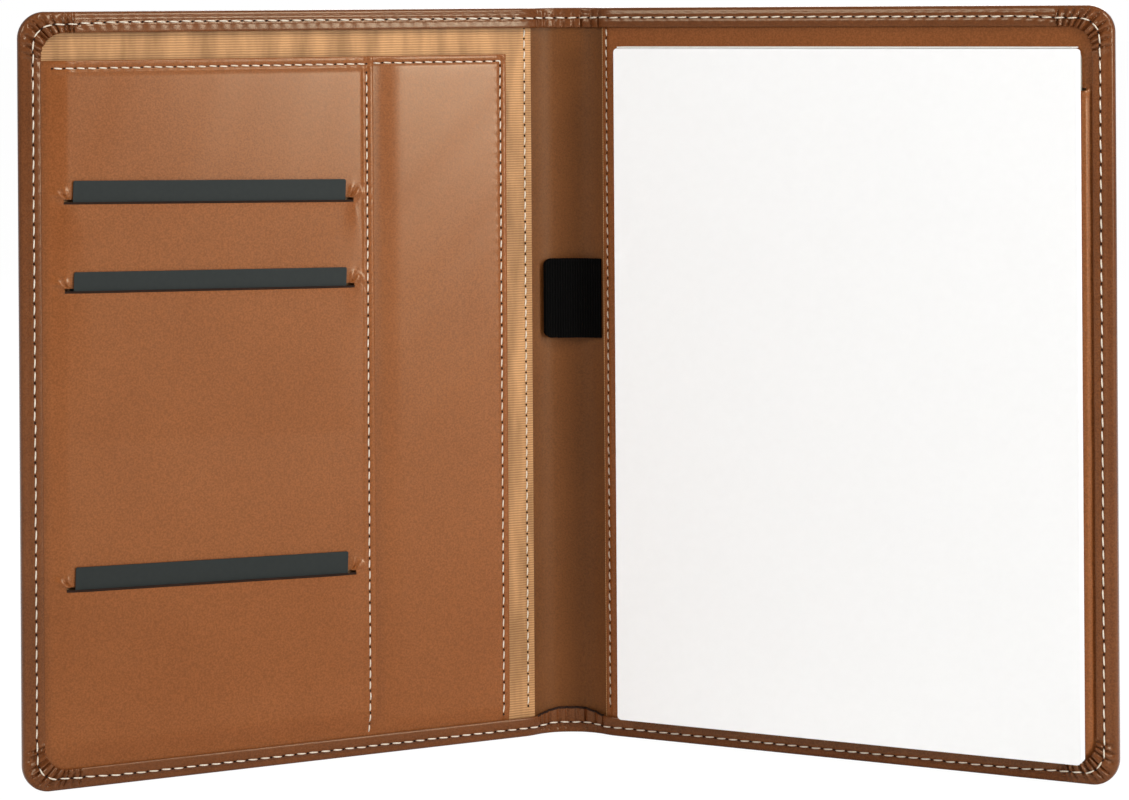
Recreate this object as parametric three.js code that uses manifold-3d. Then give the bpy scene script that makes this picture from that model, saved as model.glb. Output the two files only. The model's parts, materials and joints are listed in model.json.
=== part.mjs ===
// Padfolio: a leather folder standing upright and half open, with an A5 writing pad, card slots and a pen loop.
// Millimetres, +Z up. The spine stands at the back (+Y) and the inside of both covers faces the front (-Y).

import * as THREE from 'three';
import { mergeVertices } from 'three/addons/utils/BufferGeometryUtils.js';
import Module from 'manifold-3d';

const wasm = await Module();
wasm.setup();

// The A5 writing pad of the right cover, which sets the size of both covers
const padWidth = 148;
const padHeight = 210;
const padThickness = 5;
const padCorner = 1.2;
const padFromEdge = 9.3; // pad to the outer edge of its cover
const padFromHinge = 7.7;
const padFoot = 7.2; // pad above the lower edge
const padHead = 12.8; // pad below the upper edge
const backingThickness = 0.8;
const backingFoot = 8.7;
const backingCorner = 3;
const bindingThickness = 0.4;
const padSlitDrop = 12.1; // slit for the backing, below the head of the pad
const padSlitEnd = 1.3; // slit beyond each side of the pad
const padHemRamp = 2.1;
const padSideRamp = 3.6;

// Sizes of the folder
const coverWidth = padFromHinge + padWidth + padFromEdge;
const coverHeight = padFoot + padHeight + padHead;
const spineWidth = 24; // from one hinge line to the other
const openAngle = THREE.MathUtils.degToRad(24.5); // each cover to the plane of the spine
const cornerRadius = 8;
const edgeRound = 2.2; // roundness of the turned edge in section
const hemWidth = 6.3; // how far the cover leather is turned in
const hemCornerRadius = 7;
const hingeGap = 1.25; // from the hinge axis to the first piece of a cover

// Thicknesses
const leather = 0.9;
const boardThickness = 2;
const boardRound = 0.95; // roundness of the board's edge in section
const fabric = 0.4;
const spineLining = 0.8;
const panelLeather = 0.6;
const layerGap = 0.2;
const clearance = 0.15;

// Business cards of the left cover and the slits that they stand in
const cardWidth = 85.6;
const cardHeight = 54;
const cardThickness = 0.35;
const cardCorner = 0.5;
const cardTilt = Math.tan(THREE.MathUtils.degToRad(2)); // how fast a card sinks behind the panel
const slitSpare = 2.7; // slit beyond each side of its card
const slitGap = 0.8;
const slitSlope = THREE.MathUtils.degToRad(1.4); // a slit falls towards the spine
const slitFromEdge = 12.7; // outer edge of the cover to the first end of a slit
const lipRamp = 2.3; // length of the pucker at each end of a slit
const sleeveThickness = 0.15;
const sleeveMargin = 0.8; // sleeve beyond each side of its card
const sleeveSpare = 1.5; // sleeve below its card
const upperSlitDrop = 57; // slits below the upper edge of the cover
const middleSlitDrop = 83.3;
const lowerCardFoot = 10.8; // lowest card above the lower edge
const upperShow = 6; // how far each card shows above its slit
const middleShow = 5.3;
const lowerShow = 6.3;

// Leather panels of the left cover
const panelBeside = 6.9; // card panel beyond the inner ends of the slits
const pocketFromHinge = 9.5;
const pocketTuck = 5; // side pocket under the card panel
const panelDrop = 14.5; // panels below the upper edge of the cover
const panelFold = 3.5; // folded edge of a panel
const foldRamp = 0.3;
const hemRamp = 4.5; // from the hem up to the full height of a panel
const tuckInset = 2; // panel edge inside the turned edge

// Pen loop on the spine
const webbing = 0.6;
const loopWidth = 25;
const loopDrop = 79.5; // loop below the upper edge
const loopFromLeftHinge = 5.1;
const loopFromRightHinge = 4;
const loopRise = 3.4;

// Tucks of the turned leather
const pleatsPerCorner = 9;
const pleatWidth = 0.85;
const pleatDepth = 0.45;
const pleatCentre = 9.5; // from both edges to the point that the tucks run to
const pleatReach = 11;
const spineHemEnd = 2.4; // spine hem stops this far before the hinge axis
const spineLeatherEnd = 0.6; // spine leather past the hinge axis
const spineLiningEnd = 0.3;
const spineRound = 1.2;
const gathers = 7;
const gatherWidth = 0.7;
const gatherDepth = 0.35;

// Facets
const arcSteps = 7;
const roundSteps = 4;
const spineSteps = 12;

// Depths, measured from the outer face of the leather towards the inside
const boardBack = leather + layerGap;
const liningBack = boardBack + boardThickness + layerGap;
const liningFront = liningBack + fabric;
const tuckedBack = liningFront + layerGap;
const hemBack = tuckedBack + panelLeather + layerGap;
const coverThickness = hemBack + leather;
const spineLiningBack = leather + layerGap;
const spineLiningFront = spineLiningBack + spineLining;
const spineHemBack = spineLiningFront + layerGap;
const spineThickness = spineHemBack + leather;
const axisDepth = spineLiningFront / 2;

// Places of the slits, the panels and the pen loop
const slitLength = cardWidth + 2 * slitSpare;
const slitMiddle = coverWidth - slitFromEdge - slitLength / 2;
const slots = [
  { z: coverHeight - upperSlitDrop, show: upperShow },
  { z: coverHeight - middleSlitDrop, show: middleShow },
  { z: lowerCardFoot + cardHeight - lowerShow, show: lowerShow },
];
const panelInner = slitMiddle - slitLength / 2 - panelBeside;
const panelTop = coverHeight - panelDrop;
const loopFoot = coverHeight - loopDrop - loopWidth;
const loopLeft = loopFromLeftHinge - spineWidth / 2;
const loopRight = spineWidth / 2 - loopFromRightHinge;

// Depths of the card slots: a card lies in front of the panel above its slit and sinks behind it below
const longestDrop = cardHeight - Math.min(...slots.map((slot) => slot.show));
const panelLevel =
  liningFront + clearance + sleeveThickness + cardTilt * (longestDrop + sleeveSpare) - panelLeather;
const lipRise = panelLeather + cardThickness + 2 * clearance;

// Depths and places of the pad
const backingBack = tuckedBack + panelLeather + clearance;
const padPanelBack = backingBack + backingThickness + clearance;
const padBack = padPanelBack + panelLeather + clearance;
const padFront = padBack + padThickness;
const padInner = padFromHinge;
const padOuter = padInner + padWidth;
const padTop = padFoot + padHeight;
const padSlitHeight = padTop - padSlitDrop;

const spineRadius = spineWidth / 2 / Math.sin(openAngle);
const arcLength = 2 * spineRadius * openAngle;

// Finishes
const finishes = {
  leather: { color: '#9c6038', roughness: 0.55, metalness: 0 },
  spineLeather: { color: '#8a5330', roughness: 0.6, metalness: 0 },
  lining: { color: '#a08352', roughness: 0.7, metalness: 0 },
  board: { color: '#8d8478', roughness: 0.9, metalness: 0 },
  card: { color: '#2d3735', roughness: 0.6, metalness: 0 },
  sleeve: { color: '#5a4a36', roughness: 0.9, metalness: 0 },
  paper: { color: '#f4f3f0', roughness: 0.85, metalness: 0 },
  glue: { color: '#e6e2da', roughness: 0.5, metalness: 0 },
  elastic: { color: '#16151a', roughness: 0.8, metalness: 0 },
};

// Solids
function toSolid(geometry) {
  const bare = geometry.clone();
  bare.deleteAttribute('normal');
  bare.deleteAttribute('uv');
  const merged = mergeVertices(bare, 1e-4);
  return new wasm.Manifold(
    new wasm.Mesh({
      numProp: 3,
      vertProperties: new Float32Array(merged.attributes.position.array),
      triVerts: new Uint32Array(merged.index.array),
    })
  );
}

function toGeometry(solid) {
  const mesh = solid.getMesh();
  const geometry = new THREE.BufferGeometry();
  geometry.setAttribute('position', new THREE.BufferAttribute(mesh.vertProperties, 3));
  geometry.setIndex(new THREE.BufferAttribute(mesh.triVerts, 1));
  return geometry;
}

function mirrored(geometry) {
  const mirror = geometry.clone();
  const index = mirror.index.array;
  mirror.scale(-1, 1, 1);
  for (let corner = 0; corner < index.length; corner += 3) {
    [index[corner], index[corner + 1]] = [index[corner + 1], index[corner]];
  }
  return mirror;
}

// A cover is drawn flat: X runs from the hinge axis to the outer edge, and the inside faces -Y.
const coverOutline = (inset, start, corner) => (more) => {
  const edge = inset + more;
  const round = corner - more;
  const reach = coverWidth - edge - round;
  const shape = new THREE.Shape();
  shape.absarc(reach, edge + round, round, -Math.PI / 2, 0);
  shape.absarc(reach, coverHeight - edge - round, round, 0, Math.PI / 2);
  shape.lineTo(start, coverHeight - edge);
  shape.lineTo(start, edge);
  return shape;
};

const roundedRectangle = (left, right, low, high, corner) => () => {
  const shape = new THREE.Shape();
  shape.absarc(right - corner, low + corner, corner, -Math.PI / 2, 0);
  shape.absarc(right - corner, high - corner, corner, 0, Math.PI / 2);
  shape.absarc(left + corner, high - corner, corner, Math.PI / 2, Math.PI);
  shape.absarc(left + corner, low + corner, corner, Math.PI, 1.5 * Math.PI);
  return shape;
};

// A slab through convex outlines with equally many points, each at its own depth
function loft(layers) {
  const positions = [];
  const index = [];
  const around = layers[0].points.length;
  const last = (layers.length - 1) * around;
  for (const { points, depth } of layers) {
    for (const point of points) {
      positions.push(point.x, axisDepth - depth, point.y);
    }
  }
  for (let near = 0; near < last; near += around) {
    const far = near + around;
    for (let point = 0; point < around; point += 1) {
      const next = (point + 1) % around;
      index.push(near + point, near + next, far + next);
      index.push(near + point, far + next, far + point);
    }
  }
  for (let point = 1; point < around - 1; point += 1) {
    index.push(0, point + 1, point);
    index.push(last, last + point, last + point + 1);
  }
  const geometry = new THREE.BufferGeometry();
  geometry.setAttribute('position', new THREE.Float32BufferAttribute(positions, 3));
  geometry.setIndex(index);
  return geometry;
}

// outline(inset) draws the slab's edge; a rounded edge runs through a quarter circle at the back and at the front.
function slab(outline, back, front, round = 0) {
  const steps = round > 0 ? roundSteps : 0;
  const quarter = Array.from({ length: steps + 1 }, (_, step) => {
    const angle = steps > 0 ? (step / steps) * (Math.PI / 2) : Math.PI / 2;
    return { inset: round * (1 - Math.sin(angle)), rise: round * (1 - Math.cos(angle)) };
  });
  const layer = (inset, depth) => ({ points: outline(inset).getPoints(arcSteps), depth });
  return loft([
    ...quarter.map(({ inset, rise }) => layer(inset, back + rise)),
    ...quarter.reverse().map(({ inset, rise }) => layer(inset, front - rise)),
  ]);
}

function block(left, right, back, front, low, high) {
  const geometry = new THREE.BoxGeometry(right - left, front - back, high - low);
  geometry.translate((left + right) / 2, axisDepth - (back + front) / 2, (low + high) / 2);
  return geometry;
}

// A closed sheet over a grid of columns and rows; place(u, row) gives its height and its back and front depths.
function gridSheet(columns, rows, place) {
  const positions = [];
  const index = [];
  const across = columns.length;
  for (const row of rows) {
    for (const u of columns) {
      const { z, back, front } = place(u, row);
      positions.push(u, axisDepth - back, z);
      positions.push(u, axisDepth - front, z);
    }
  }
  const backAt = (column, row) => 2 * (row * across + column);
  const frontAt = (column, row) => backAt(column, row) + 1;
  const quad = (a, b, c, d) => index.push(a, b, c, a, c, d);
  const last = across - 1;
  const top = rows.length - 1;
  for (let row = 0; row < top; row += 1) {
    for (let column = 0; column < last; column += 1) {
      const right = column + 1;
      const above = row + 1;
      quad(frontAt(column, row), frontAt(right, row), frontAt(right, above), frontAt(column, above));
      quad(backAt(column, row), backAt(column, above), backAt(right, above), backAt(right, row));
    }
  }
  for (let column = 0; column < last; column += 1) {
    const right = column + 1;
    quad(backAt(column, 0), backAt(right, 0), frontAt(right, 0), frontAt(column, 0));
    quad(backAt(column, top), frontAt(column, top), frontAt(right, top), backAt(right, top));
  }
  for (let row = 0; row < top; row += 1) {
    const above = row + 1;
    quad(frontAt(0, row), frontAt(0, above), backAt(0, above), backAt(0, row));
    quad(frontAt(last, row), backAt(last, row), backAt(last, above), frontAt(last, above));
  }
  const geometry = new THREE.BufferGeometry();
  geometry.setAttribute('position', new THREE.Float32BufferAttribute(positions, 3));
  geometry.setIndex(index);
  return geometry;
}

function ramp(distance, length) {
  return THREE.MathUtils.smoothstep(distance, 0, length);
}

function spread(from, to, steps) {
  return Array.from({ length: steps + 1 }, (_, step) => from + ((to - from) * step) / steps);
}

function inOrder(values) {
  return [...new Set(values.map((value) => Number(value.toFixed(4))))].sort((a, b) => a - b);
}

// A V-shaped tuck: it runs along a direction in the face whose outward direction is given.
function tuck(origin, along, outward, width, depth, length) {
  const over = 1;
  const half = (width / 2) * (1 + over / depth);
  const section = new THREE.Shape();
  section.moveTo(-half, over);
  section.lineTo(0, -depth);
  section.lineTo(half, over);
  const geometry = new THREE.ExtrudeGeometry(section, { depth: length, bevelEnabled: false });
  const across = new THREE.Vector3().crossVectors(outward, along);
  const frame = new THREE.Matrix4().makeBasis(across, outward, along).setPosition(origin);
  geometry.applyMatrix4(frame);
  return toSolid(geometry);
}

function cornerTucks(upwards) {
  const centreHeight = upwards ? coverHeight - pleatCentre : pleatCentre;
  const origin = new THREE.Vector3(coverWidth - pleatCentre, axisDepth - coverThickness, centreHeight);
  const outward = new THREE.Vector3(0, -1, 0);
  const turn = Math.PI / 2 / pleatsPerCorner;
  return spread(turn / 2, Math.PI / 2 - turn / 2, pleatsPerCorner - 1).map((angle) => {
    const rise = upwards ? Math.sin(angle) : -Math.sin(angle);
    const along = new THREE.Vector3(Math.cos(angle), 0, rise);
    return tuck(origin, along, outward, pleatWidth, pleatDepth, pleatReach);
  });
}

// Pieces that both covers have
function coverLeather() {
  const cavityStart = hingeGap - leather;
  const outside = coverOutline(0, hingeGap, cornerRadius);
  const cavity = coverOutline(leather, cavityStart, cornerRadius - leather);
  const opening = coverOutline(hemWidth, cavityStart, hemCornerRadius);
  let shell = toSolid(slab(outside, 0, coverThickness, edgeRound));
  shell = shell.subtract(toSolid(slab(cavity, leather, hemBack, edgeRound - leather)));
  shell = shell.subtract(toSolid(slab(opening, tuckedBack, coverThickness + leather)));
  for (const groove of [...cornerTucks(true), ...cornerTucks(false)]) {
    shell = shell.subtract(groove);
  }
  return toGeometry(shell);
}

function coverBoard() {
  const inset = leather + layerGap;
  const outline = coverOutline(inset, hingeGap + boardThickness, cornerRadius - inset);
  return slab(outline, boardBack, boardBack + boardThickness, boardRound);
}

function coverLining() {
  const inset = leather + 2 * layerGap;
  return slab(coverOutline(inset, hingeGap, cornerRadius - inset), liningBack, liningFront);
}

const hemSteps = [0, 0.15, 0.3, 0.45, 0.65, 1].map((share) => share * hemCornerRadius);

// How far a point lies inside the window that the turned edge leaves open, its round corner included
function insideHem(u, z) {
  const across = coverWidth - hemWidth - u;
  const up = Math.min(z, coverHeight - z) - hemWidth;
  if (across < hemCornerRadius && up < hemCornerRadius) {
    return hemCornerRadius - Math.hypot(hemCornerRadius - across, hemCornerRadius - up);
  }
  return Math.min(across, up);
}

// A panel's tucked edge keeps clear of the round corners of the turned leather.
function trimmed(panel) {
  const outline = coverOutline(tuckInset, 0, cornerRadius - tuckInset);
  return panel.intersect(toSolid(slab(outline, 0, padFront)));
}

// Left cover: the depth of the card panel's back, following the cards that lie under it
function slotLevel(row, above) {
  return slots.slice(0, above).reduce((level, slot, order) => {
    if (row >= slot.z) {
      return level;
    }
    return Math.max(level, slotLevel(slot.z, order) + lipRise - cardTilt * (slot.z - row));
  }, panelLevel);
}

function slitHeight(slot, u) {
  return slot.z + Math.tan(slitSlope) * (u - slitMiddle);
}

function cardPanel() {
  const outer = coverWidth - tuckInset;
  const hemEdge = coverWidth - hemWidth;
  const inner = panelInner;
  const foldEdge = inner + panelFold;
  const cornerColumns = hemSteps.map((step) => hemEdge - step);
  const cornerRows = hemSteps.map((step) => hemWidth + step);
  const foldBack = tuckedBack + panelLeather + clearance;
  const slitStart = slitMiddle - slitLength / 2;
  const slitEnd = slitMiddle + slitLength / 2;
  const highest = slots[0];
  const lowest = slots[slots.length - 1];
  const rampTop = hemWidth + hemRamp;
  const foldLow = panelTop - panelFold;

  const columns = inOrder([
    inner,
    inner + foldRamp,
    foldEdge,
    foldEdge + foldRamp,
    ...spread(slitStart, slitStart + lipRamp, 3),
    ...spread(slitStart + lipRamp, slitEnd - lipRamp, 6),
    ...spread(slitEnd - lipRamp, slitEnd, 3),
    ...cornerColumns,
    outer,
  ]);
  const rows = inOrder([
    tuckInset,
    ...cornerRows,
    ...slots.flatMap((slot) => [slot.z - slitGap / 2, slot.z + slitGap / 2]),
    ...spread(rampTop, lowest.z - slitGap / 2, 4),
    ...spread(lowest.z + slitGap / 2, slots[1].z - slitGap / 2, 6),
    ...spread(slots[1].z + slitGap / 2, highest.z - slitGap / 2, 2),
    ...spread(highest.z + slitGap / 2, foldLow - foldRamp, 3),
    foldLow,
    panelTop,
  ]);
  const place = (u, row) => {
    const lean =
      THREE.MathUtils.clamp((row - rampTop) / (lowest.z - slitGap - rampTop), 0, 1) *
      THREE.MathUtils.clamp((foldLow - row) / (foldLow - highest.z - slitGap), 0, 1);
    const z = row + lean * Math.tan(slitSlope) * (u - slitMiddle);
    const taper = ramp(u - slitStart, lipRamp) * ramp(slitEnd - u, lipRamp);
    const raised = panelLevel + taper * (slotLevel(row, slots.length) - panelLevel);
    const lift = ramp(insideHem(u, row), hemRamp);
    const folded = u < foldEdge + foldRamp / 2;
    const turned = !folded && row >= foldLow;
    const level = folded ? foldBack : raised;
    const back = tuckedBack + lift * (level - (turned ? panelLeather : 0) - tuckedBack);
    const thickness = panelLeather * (1 + (folded || turned ? lift : 0));
    return { z, back, front: back + thickness };
  };
  let panel = toSolid(gridSheet(columns, rows, place));
  for (const slot of slots) {
    const half = slitLength / 2;
    const cut = block(-half, half, panelLevel - lipRise, coverThickness + 2 * lipRise, -slitGap / 2, slitGap / 2);
    cut.rotateY(-slitSlope);
    cut.translate(slitMiddle, 0, slot.z);
    panel = panel.subtract(toSolid(cut));
  }
  return toGeometry(trimmed(panel));
}

function sidePocket() {
  const inner = pocketFromHinge;
  const panelEdge = panelInner;
  const outer = panelEdge + pocketTuck;
  const rampTop = hemWidth + hemRamp;
  const foldLow = panelTop - panelFold;
  const columns = inOrder([
    inner,
    inner + panelFold,
    inner + panelFold + foldRamp,
    ...spread(inner + panelFold + foldRamp, panelEdge - 2 * hemRamp, 3),
    ...spread(panelEdge - 2 * hemRamp, panelEdge - foldRamp, 3),
    outer,
  ]);
  const rows = inOrder([
    tuckInset,
    ...spread(hemWidth, rampTop, 3),
    ...spread(rampTop, foldLow - foldRamp, 4),
    foldLow,
    panelTop,
  ]);
  const place = (u, row) => {
    const lift = ramp(panelEdge - foldRamp - u, 2 * hemRamp) * ramp(row - hemWidth, hemRamp);
    const folded = u <= inner + panelFold || row >= foldLow;
    const back = tuckedBack + (folded ? 0 : lift * panelLeather);
    const front = tuckedBack + panelLeather * (1 + lift);
    return { z: row, back, front };
  };
  const pocket = toSolid(gridSheet(columns, rows, place));
  const notch = block(panelEdge - clearance, outer + leather, liningFront, coverThickness, 0, rampTop + clearance);
  return toGeometry(pocket.subtract(toSolid(notch)));
}

// A flat piece in a slot: drawn about the middle of its slit, then turned with the slit and tilted with the card
function inSlot(order, shape, back, front) {
  const slot = slots[order];
  const slitFace = slotLevel(slot.z, order) + panelLeather + clearance;
  const geometry = slab(shape, back, front);
  geometry.translate(0, -axisDepth, 0);
  geometry.rotateX(Math.atan(cardTilt));
  geometry.rotateY(-slitSlope);
  geometry.translate(slitMiddle, axisDepth - slitFace, slitHeight(slot, slitMiddle));
  return geometry;
}

function card(order) {
  const { show } = slots[order];
  const half = cardWidth / 2;
  return inSlot(order, roundedRectangle(-half, half, show - cardHeight, show, cardCorner), 0, cardThickness);
}

function cardSleeve(order) {
  const { show } = slots[order];
  const half = cardWidth / 2 + sleeveMargin;
  const foot = show - cardHeight - sleeveSpare;
  const shape = roundedRectangle(-half, half, foot, -slitGap - clearance, cardCorner);
  return inSlot(order, shape, -clearance - sleeveThickness, -clearance);
}

// Right cover: the panel is slit below the head of the pad and stands over the pad's backing from there down
function padPanel() {
  const outer = coverWidth - tuckInset;
  const hemEdge = coverWidth - hemWidth;
  const top = coverHeight - tuckInset;
  const hemTop = coverHeight - hemWidth;
  const slitLow = padSlitHeight - slitGap / 2;
  const slitHigh = padSlitHeight + slitGap / 2;
  const slitStart = padInner - padSlitEnd;
  const slitEnd = padOuter + padSlitEnd;
  const columns = inOrder([
    hingeGap,
    ...spread(padInner - padSideRamp, padInner, 4),
    ...spread(padInner, hemEdge - hemCornerRadius, 4),
    ...hemSteps.map((step) => hemEdge - step),
    outer,
  ]);
  const rows = inOrder([
    tuckInset,
    ...hemSteps.map((step) => hemWidth + step),
    ...spread(hemWidth + hemCornerRadius, slitLow, 3),
    slitHigh,
    hemTop,
    top,
  ]);
  const place = (u, row) => {
    const side = ramp(u - padInner + padSideRamp, padSideRamp);
    const lift = row > padSlitHeight ? 0 : side * ramp(insideHem(u, row), padHemRamp);
    const back = tuckedBack + lift * (padPanelBack - tuckedBack);
    return { z: row, back, front: back + panelLeather };
  };
  const panel = toSolid(gridSheet(columns, rows, place));
  const slit = block(slitStart, slitEnd, liningFront, padFront, slitLow, slitHigh);
  return toGeometry(trimmed(panel.subtract(toSolid(slit))));
}

function padSheets() {
  return slab(roundedRectangle(padInner, padOuter, padFoot, padTop, padCorner), padBack, padFront);
}

function padBacking() {
  const shape = roundedRectangle(padInner + clearance, padOuter - clearance, backingFoot, padTop, backingCorner);
  return slab(shape, backingBack, backingBack + backingThickness);
}

function padBinding() {
  const foot = padTop + clearance;
  return block(padInner + padCorner, padOuter - padCorner, backingBack, padFront, foot, foot + bindingThickness);
}

// Spine: drawn flat along X, then bent so that its ends run on into both covers
function bend(geometry) {
  const position = geometry.attributes.position;
  for (let point = 0; point < position.count; point += 1) {
    const angle = position.getX(point) / spineRadius;
    const radius = spineRadius + position.getY(point);
    position.setX(point, radius * Math.sin(angle));
    position.setY(point, radius * Math.cos(angle) - spineRadius * Math.cos(openAngle));
  }
  return geometry;
}

function spineStrip(section, end) {
  const length = arcLength + 2 * end;
  const geometry = new THREE.ExtrudeGeometry(section, {
    depth: length,
    steps: spineSteps,
    curveSegments: roundSteps,
    bevelEnabled: false,
  });
  geometry.translate(-axisDepth, 0, -length / 2);
  const across = new THREE.Matrix4().makeBasis(
    new THREE.Vector3(0, -1, 0),
    new THREE.Vector3(0, 0, 1),
    new THREE.Vector3(-1, 0, 0)
  );
  geometry.applyMatrix4(across);
  return bend(geometry);
}

function spineLeatherPiece() {
  const inner = spineThickness;
  const section = new THREE.Shape();
  section.absarc(spineRound, spineRound, spineRound, Math.PI, 1.5 * Math.PI);
  section.absarc(inner - spineRound, spineRound, spineRound, 1.5 * Math.PI, 2 * Math.PI);
  section.lineTo(inner, hemWidth);
  section.lineTo(spineHemBack, hemWidth);
  section.lineTo(spineHemBack, leather);
  section.lineTo(leather, leather);
  section.lineTo(leather, coverHeight - leather);
  section.lineTo(spineHemBack, coverHeight - leather);
  section.lineTo(spineHemBack, coverHeight - hemWidth);
  section.lineTo(inner, coverHeight - hemWidth);
  section.absarc(inner - spineRound, coverHeight - spineRound, spineRound, 0, Math.PI / 2);
  section.absarc(spineRound, coverHeight - spineRound, spineRound, Math.PI / 2, Math.PI);
  let strip = toSolid(spineStrip(section, spineLeatherEnd));
  for (const side of [-1, 1]) {
    const relief = block(-spineHemEnd, hemWidth, leather + layerGap, 2 * spineThickness, -leather, coverHeight + leather);
    relief.rotateZ(-openAngle);
    relief.translate(spineWidth / 2, 0, 0);
    strip = strip.subtract(toSolid(side > 0 ? relief : mirrored(relief)));
  }
  const span = openAngle - (2 * spineHemEnd) / spineRadius;
  for (const angle of spread(-span, span, gathers - 1)) {
    const outward = new THREE.Vector3(-Math.sin(angle), -Math.cos(angle), 0);
    const depth = spineRadius + axisDepth - spineThickness;
    const face = outward.clone().multiplyScalar(-depth);
    face.y -= spineRadius * Math.cos(openAngle);
    for (const foot of [spineRound, coverHeight - hemWidth - leather]) {
      const origin = face.clone().setZ(foot);
      const up = new THREE.Vector3(0, 0, 1);
      const length = hemWidth + leather - spineRound;
      strip = strip.subtract(tuck(origin, up, outward, gatherWidth, gatherDepth, length));
    }
  }
  return toGeometry(strip);
}

function spineLiningPiece() {
  const inset = leather + layerGap;
  const section = new THREE.Shape();
  section.moveTo(spineLiningBack, inset);
  section.lineTo(spineLiningFront, inset);
  section.lineTo(spineLiningFront, coverHeight - inset);
  section.lineTo(spineLiningBack, coverHeight - inset);
  return spineStrip(section, spineLiningEnd);
}

// The pen loop is one strip of webbing: flat on the lining, folded at the left and back over itself to the right
function penLoop() {
  const low = spineLiningFront + clearance + webbing / 2;
  const high = low + webbing + clearance;
  const fold = loopLeft + webbing / 2;
  const middle = (loopLeft + loopRight) / 2;
  const top = high + loopRise;
  const centre = new THREE.SplineCurve([
    new THREE.Vector2(loopRight, low),
    new THREE.Vector2(middle, low),
    new THREE.Vector2(fold + 3 * webbing, low),
    new THREE.Vector2(fold, low + webbing),
    new THREE.Vector2(fold + webbing, low + loopRise / 2),
    new THREE.Vector2(middle - 5 * webbing, top - webbing),
    new THREE.Vector2(middle, top - webbing / 2),
    new THREE.Vector2(middle + 5 * webbing, high + loopRise / 2),
    new THREE.Vector2(loopRight - 3 * webbing, high + clearance),
    new THREE.Vector2(loopRight, high),
  ]);
  const steps = 36;
  const sides = [1, -1].map((side) =>
    spread(0, 1, steps).map((at) => {
      const along = centre.getTangent(at);
      const point = centre.getPoint(at);
      const offset = new THREE.Vector2(-along.y, along.x).multiplyScalar((side * webbing) / 2);
      return new THREE.Vector2(point.x + offset.x, axisDepth - point.y - offset.y);
    })
  );
  const section = new THREE.Shape([...sides[0], ...sides[1].reverse()]);
  const geometry = new THREE.ExtrudeGeometry(section, { depth: loopWidth, bevelEnabled: false });
  geometry.translate(0, 0, loopFoot);
  return bend(geometry);
}

// Assembly
function piece(name, geometry, finish) {
  const mesh = new THREE.Mesh(geometry, new THREE.MeshStandardMaterial(finishes[finish]));
  mesh.name = name;
  return mesh;
}

const spine = new THREE.Group();
spine.add(
  piece('spine_leather', spineLeatherPiece(), 'spineLeather'),
  piece('spine_lining', spineLiningPiece(), 'spineLeather'),
  piece('pen_loop', penLoop(), 'elastic')
);

const leftCover = new THREE.Group();
leftCover.add(
  piece('left_cover_leather', mirrored(coverLeather()), 'leather'),
  piece('left_board', mirrored(coverBoard()), 'board'),
  piece('left_lining', mirrored(toGeometry(toSolid(coverLining()))), 'lining'),
  piece('card_panel', mirrored(cardPanel()), 'leather'),
  piece('side_pocket', mirrored(sidePocket()), 'leather')
);
slots.forEach((_, order) => {
  leftCover.add(
    piece(`card_sleeve_${order + 1}`, mirrored(toGeometry(toSolid(cardSleeve(order)))), 'sleeve'),
    piece(`card_${order + 1}`, mirrored(toGeometry(toSolid(card(order)))), 'card')
  );
});
leftCover.position.x = -spineWidth / 2;
leftCover.rotation.z = openAngle;

const rightCover = new THREE.Group();
rightCover.add(
  piece('right_cover_leather', coverLeather(), 'leather'),
  piece('right_board', coverBoard(), 'board'),
  piece('right_lining', coverLining(), 'lining'),
  piece('right_panel', padPanel(), 'leather'),
  piece('pad_sheets', padSheets(), 'paper'),
  piece('pad_backing', padBacking(), 'board'),
  piece('pad_binding', padBinding(), 'glue')
);
rightCover.position.x = spineWidth / 2;
rightCover.rotation.z = -openAngle;

const padfolio = new THREE.Group();
padfolio.add(spine, leftCover, rightCover);

// The origin lies under the middle of the folder's bounding box, on the surface it stands on.
const box = new THREE.Box3().setFromObject(padfolio, true);
const middle = box.getCenter(new THREE.Vector3());
padfolio.position.set(-middle.x, -middle.y, -box.min.z);

export default padfolio;
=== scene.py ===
"""A leather padfolio that stands half open, dressed for a plain studio picture.

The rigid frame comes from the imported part. The leather covers, panels, linings, pen loop, pad and threads are
modelled here over it. Sizes of the folder are in millimetres on a leaf: u runs from a hinge line to the
outer edge, z runs up and v runs from the outer face of the leather towards the inside. Finished meshes are
in metres.
"""

import json
import logging
import math
from collections.abc import Iterator
from contextlib import contextmanager
from dataclasses import dataclass, field
from enum import Enum

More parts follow.
